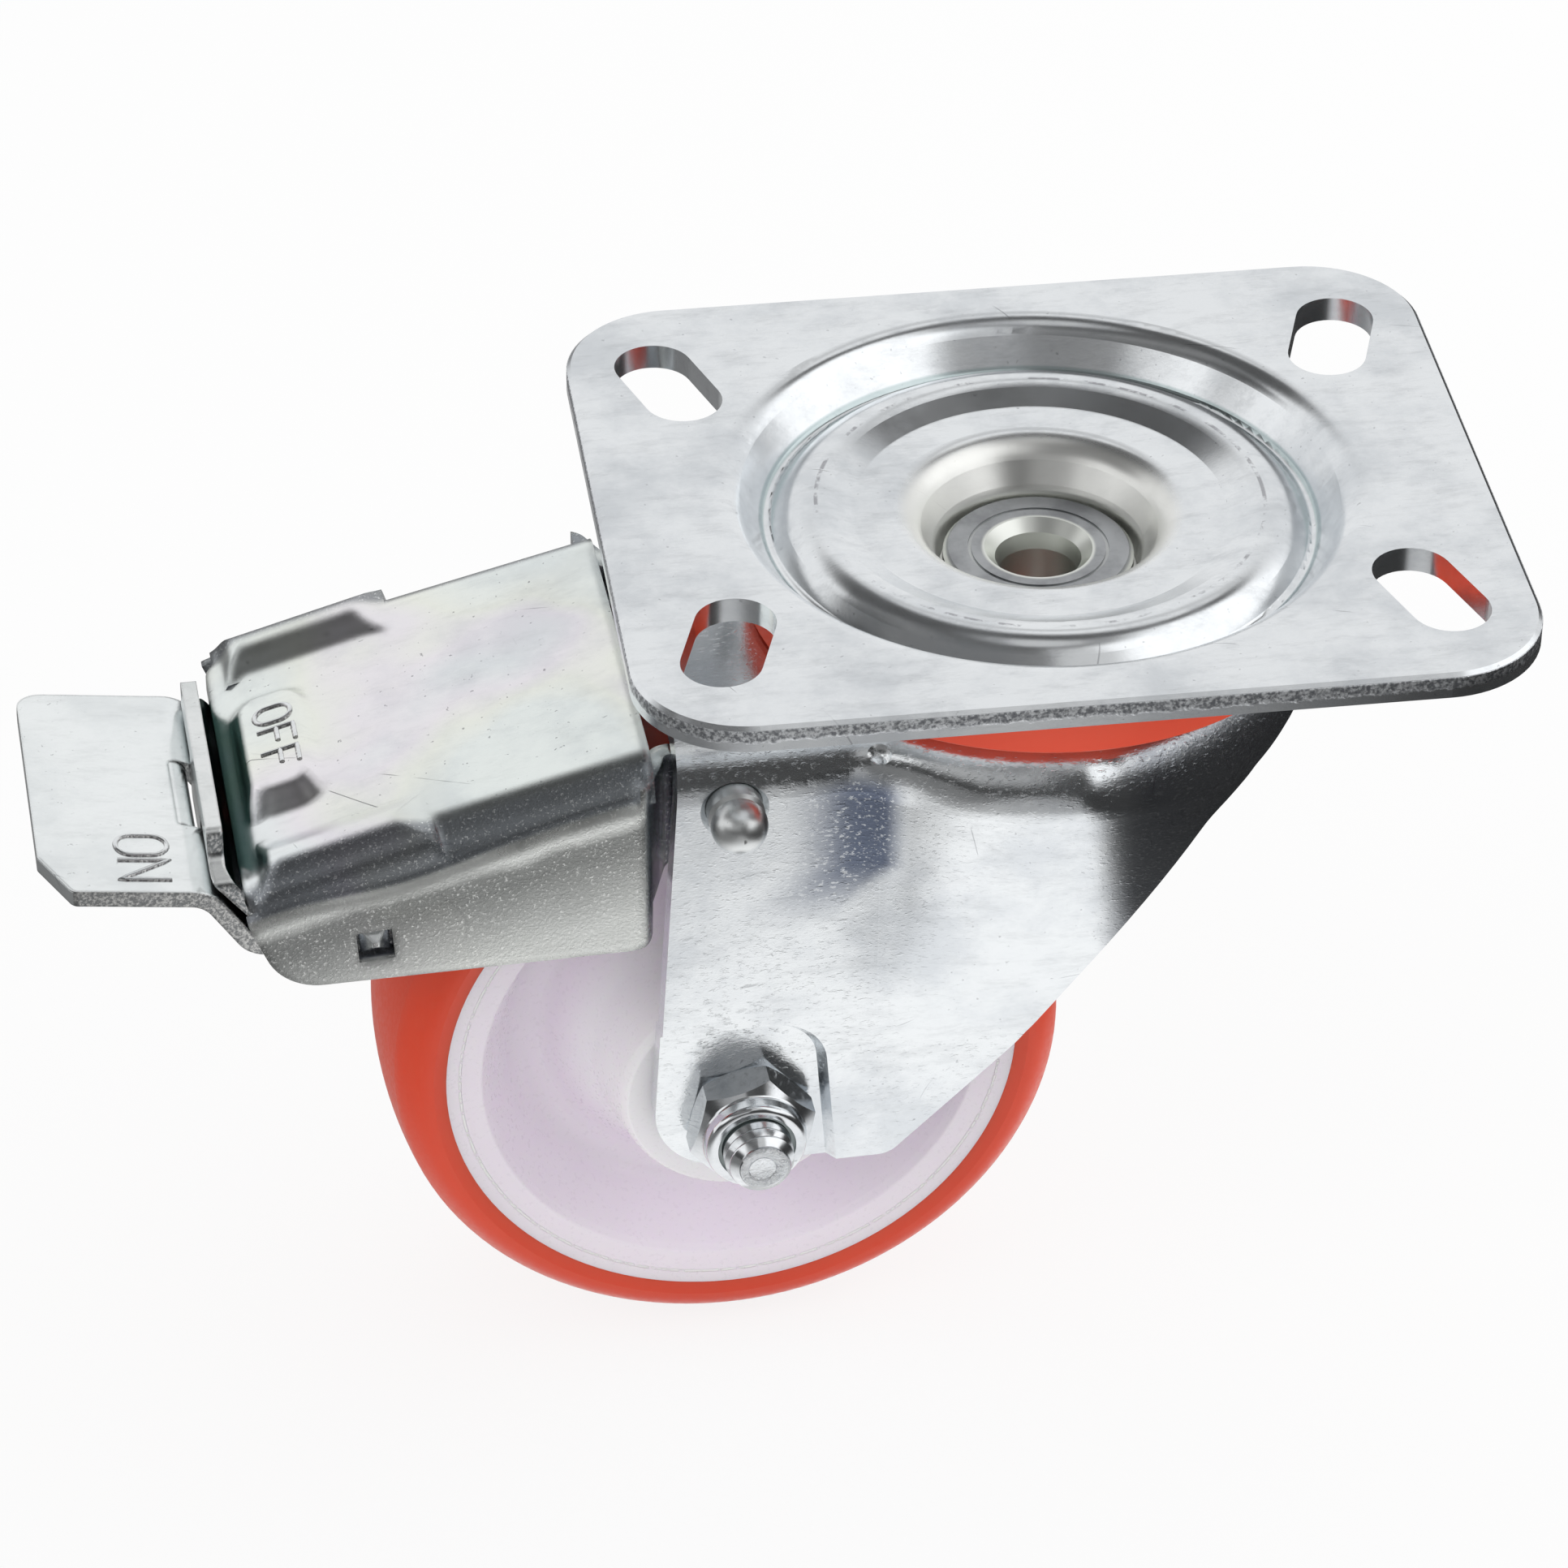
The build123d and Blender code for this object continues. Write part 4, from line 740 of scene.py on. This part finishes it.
# The pedal's cut edges are grey and torn.
pedal_edge_dark, pedal_edge_bright = (0.34, 0.35, 0.355), (0.86, 0.86, 0.84)
pedal = plated(
    "zinc_pedal", (0.91, 0.94, 0.945), (0.83, 0.865, 0.875), rough=0.17, fine=3.2e-6,
    stain=0.20, scuff=0.50, round_off=0.0006)
tree, shader = pedal.tree, pedal.shader
cut = ease(tree, maths(tree, "ABSOLUTE", facing(tree)[1]), 0.80, 0.95)
edge_grain = grain(tree, texture_space(tree), 2400, 4.0, 0.7)
edge_colour = blend_colour(tree, ease(tree, edge_grain, 0.42, 0.62), pedal_edge_dark, pedal_edge_bright)
link(tree, blend_colour(tree, cut, pedal.colour, edge_colour), shader.inputs["Base Color"])
link(tree, relief(tree, product(tree, edge_grain, cut), 5e-5, pedal.normal), shader.inputs["Normal"])
dress(pedal.mat, "brake_pedal")

# The pedal's sheet is drawn down into its slot in a round lip, in front of the latch plate's tab.
lip_ahead, lip_half, lip_round, lip_sheet, lip_skirt = 0.0989, 0.0060, 0.0020, 0.0010, 0.0012
# the depth of the pedal's top at its front, how it falls from there to the rear, and a hair's gap to it
pedal_front, pedal_front_depth, pedal_fall, lip_gap = 0.1106, 0.02905, 0.0019 / 0.0138, 0.00002
lip_top = -(pedal_front_depth + (pedal_front - lip_ahead) * pedal_fall) - lip_gap
bm = bmesh.new()
edge = bmesh.ops.create_vert(bm, co=(-lip_ahead, -lip_half, lip_top))["vert"]
edge += bmesh.ops.create_vert(bm, co=(-lip_ahead, lip_half, lip_top))["vert"]
line = bm.edges.new(edge)
turned = bmesh.ops.spin(
    bm, geom=edge + [line], cent=(-lip_ahead, 0, lip_top - lip_round), axis=(0, 1, 0), dvec=(0, 0, 0),
    angle=radians(88), steps=14, use_duplicate=False)
last = [item for item in turned["geom_last"] if isinstance(item, bmesh.types.BMEdge)]
skirt = bmesh.ops.extrude_edge_only(bm, edges=last)["geom"]
bmesh.ops.translate(bm, verts=[v for v in skirt if isinstance(v, bmesh.types.BMVert)], vec=(0, 0, -lip_skirt))
bmesh.ops.recalc_face_normals(bm, faces=bm.faces)
if sum(f.normal.z for f in bm.faces) < 0:
    bmesh.ops.reverse_faces(bm, faces=bm.faces)
bmesh.ops.solidify(bm, geom=bm.faces, thickness=lip_sheet)
bmesh.ops.recalc_face_normals(bm, faces=bm.faces)
bmesh.ops.rotate(bm, cent=(0, 0, 0), matrix=Matrix.Rotation(radians(fork_turn), 3, "Z"), verts=bm.verts)
finish_piece("slot_lip", smooth_mesh("slot_lip", bm, 40), pedal.mat, "pedal")

# The latch plate stands behind the slot; its rear face is painted dark green: the green of the passivation,
# darkened as painted shade where it is sheltered.
shaded_passivation_green = (0.030, 0.075, 0.068)
latch_edge_dark, latch_edge_bright = (0.30, 0.32, 0.33), (0.86, 0.86, 0.85)
latch = plated(
    "passivated_zinc_latch", (0.84, 0.86, 0.86), (0.72, 0.75, 0.75), rough=0.19, fine=5e-6,
    stain=0.25, scuff=0.45, round_off=0.0006)
tree = latch.tree
rearward, sideways, _ = facing(tree)
cut = ease(tree, maths(tree, "ABSOLUTE", sideways), 0.80, 0.95)
# the rear face is painted dark green, as painted shade
colour = blend_colour(tree, ease(tree, rearward, 0.30, 0.75), latch.colour, shaded_passivation_green)
edge_grain = ease(tree, grain(tree, texture_space(tree), 2200, 4.0, 0.7), 0.42, 0.62)
edge_colour = blend_colour(tree, edge_grain, latch_edge_dark, latch_edge_bright)
link(tree, blend_colour(tree, cut, colour, edge_colour), latch.shader.inputs["Base Color"])
dress(latch.mat, "latch_plate")

# The leaf spring and the rivets are hardened and tempered, dark and bluish under an oil film.
temper_light, temper_dark = (0.36, 0.37, 0.40), (0.26, 0.27, 0.30)
spring_steel, tree, shader = new_finish("blue_spring_steel")
film = grain(tree, texture_space(tree), 300, 3.0, 0.5)
link(tree, blend_colour(tree, film, temper_light, temper_dark), shader.inputs["Base Color"])
link(tree, ease(tree, film, 0.3, 0.7, 0.25, 0.40), shader.inputs["Roughness"])
link(tree, relief(tree, grain(tree, texture_space(tree), 2500, 3.0, 0.6), 4e-6), shader.inputs["Normal"])
dress(spring_steel, "brake_spring", "spring_rivet", "latch_rivets")

# ---- Stamped words: OFF on the cover's toe pad and ON on the pedal ----
# The words are coined up out of the sheet as round-backed ridges 0.3 mm high, with rough flanks
# where the metal was drawn into the die. They read across the castor, with their tops to the rear.
ridge_radius, ridge_flattening = 0.00031, 0.85
flank_dark_grey, flank_light_grey = (0.24, 0.23, 0.24), (0.80, 0.79, 0.78)


def letter_strokes(letter, width):
    """A letter's strokes as lists of points, in units of its height, and whether each closes."""
    if letter == "F":
        return [([(0, 0), (0, 1), (width, 1)], False), ([(0, 0.53), (0.8 * width, 0.53)], False)]
    if letter == "N":
        return [([(0, 0), (0, 1), (width, 0), (width, 1)], False)]
    half = width / 2
    bow = [(half - half * cos(pi * k / 12), 1 - half + half * sin(pi * k / 12)) for k in range(13)]
    return [(bow + [(width - a, 1 - b) for a, b in bow], True)]


def along_run(start, end, pieces):
    (a, b), (c, d) = start, end
    return [(a + (c - a) * k / pieces, b + (d - b) * k / pieces) for k in range(pieces)]


def stamped_word(word, letter_width, gap, tall, ahead, side, sheet, body, mat):
    curve = bpy.data.curves.new(word, "CURVE")
    curve.dimensions = "3D"
    curve.bevel_depth = ridge_radius
    curve.bevel_resolution = 2
    curve.use_fill_caps = True
    length = len(word) * letter_width + (len(word) - 1) * gap
    for place, letter in enumerate(word):
        for stroke, closed in letter_strokes(letter, letter_width / tall):
            # straight runs are divided, so that they can follow the sheet; an O's bows already are
            points = []
            for start, end in zip(stroke, stroke[1:]):
                in_bow = letter == "O" and abs(start[1] - end[1]) < 0.3
                points += along_run(start, end, 1 if in_bow else 8)
            points.append(stroke[-1])
            if closed:
                points += along_run(stroke[-1], stroke[0], 8)[1:]
            spline = curve.splines.new("POLY")
            spline.points.add(len(points) - 1)
            spline.use_cyclic_u = closed
            for point, (across, up) in zip(spline.points, points):
                reading = place * (letter_width + gap) + across * tall - length / 2
                point.co = (-ahead + (up - 0.5) * tall, side - reading, 0, 1)
    drawn = bpy.data.objects.new(word, curve)
    mesh = bpy.data.meshes.new_from_object(drawn)
    bpy.data.objects.remove(drawn)
    mesh.transform(Matrix.Rotation(radians(fork_turn), 4, "Z"))
    # each ridge is let down on the sheet under it, half sunk
    host = nodes[sheet].data
    surface = BVHTree.FromPolygons([v.co for v in host.vertices], [p.vertices for p in host.polygons])
    for vert in mesh.vertices:
        hit = surface.ray_cast(Vector((vert.co.x, vert.co.y, 0)), Vector((0, 0, -1)))[0]
        vert.co.z = hit.z + vert.co.z * ridge_flattening
    mesh.shade_smooth()
    finish_piece("stamped_" + word.lower(), mesh, mat, body)


ridge = plated(
    "coined_zinc", (0.84, 0.86, 0.87), (0.70, 0.73, 0.75), rough=0.16, fine=5e-6)
tree, shader = ridge.tree, ridge.shader
flanks = ease(tree, facing(tree)[2], 0.55, 0.92, 1.0, 0.0)
torn = grain(tree, texture_space(tree), 3200, 4.0, 0.7)
flank_colour = blend_colour(tree, ease(tree, torn, 0.42, 0.60), flank_dark_grey, flank_light_grey)
link(tree, blend_colour(tree, flanks, ridge.colour, flank_colour), shader.inputs["Base Color"])
link(tree, relief(tree, product(tree, torn, flanks), 8e-5, ridge.normal), shader.inputs["Normal"])
stamped_word(
    "OFF", letter_width=0.0029, gap=0.0013, tall=0.0041, ahead=0.0869, side=0.0008,
    sheet="brake_cover", body="cover", mat=ridge.mat)
stamped_word(
    "ON", letter_width=0.0036, gap=0.0010, tall=0.0057, ahead=0.1034, side=-0.0125,
    sheet="brake_pedal", body="pedal", mat=ridge.mat)

low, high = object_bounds()
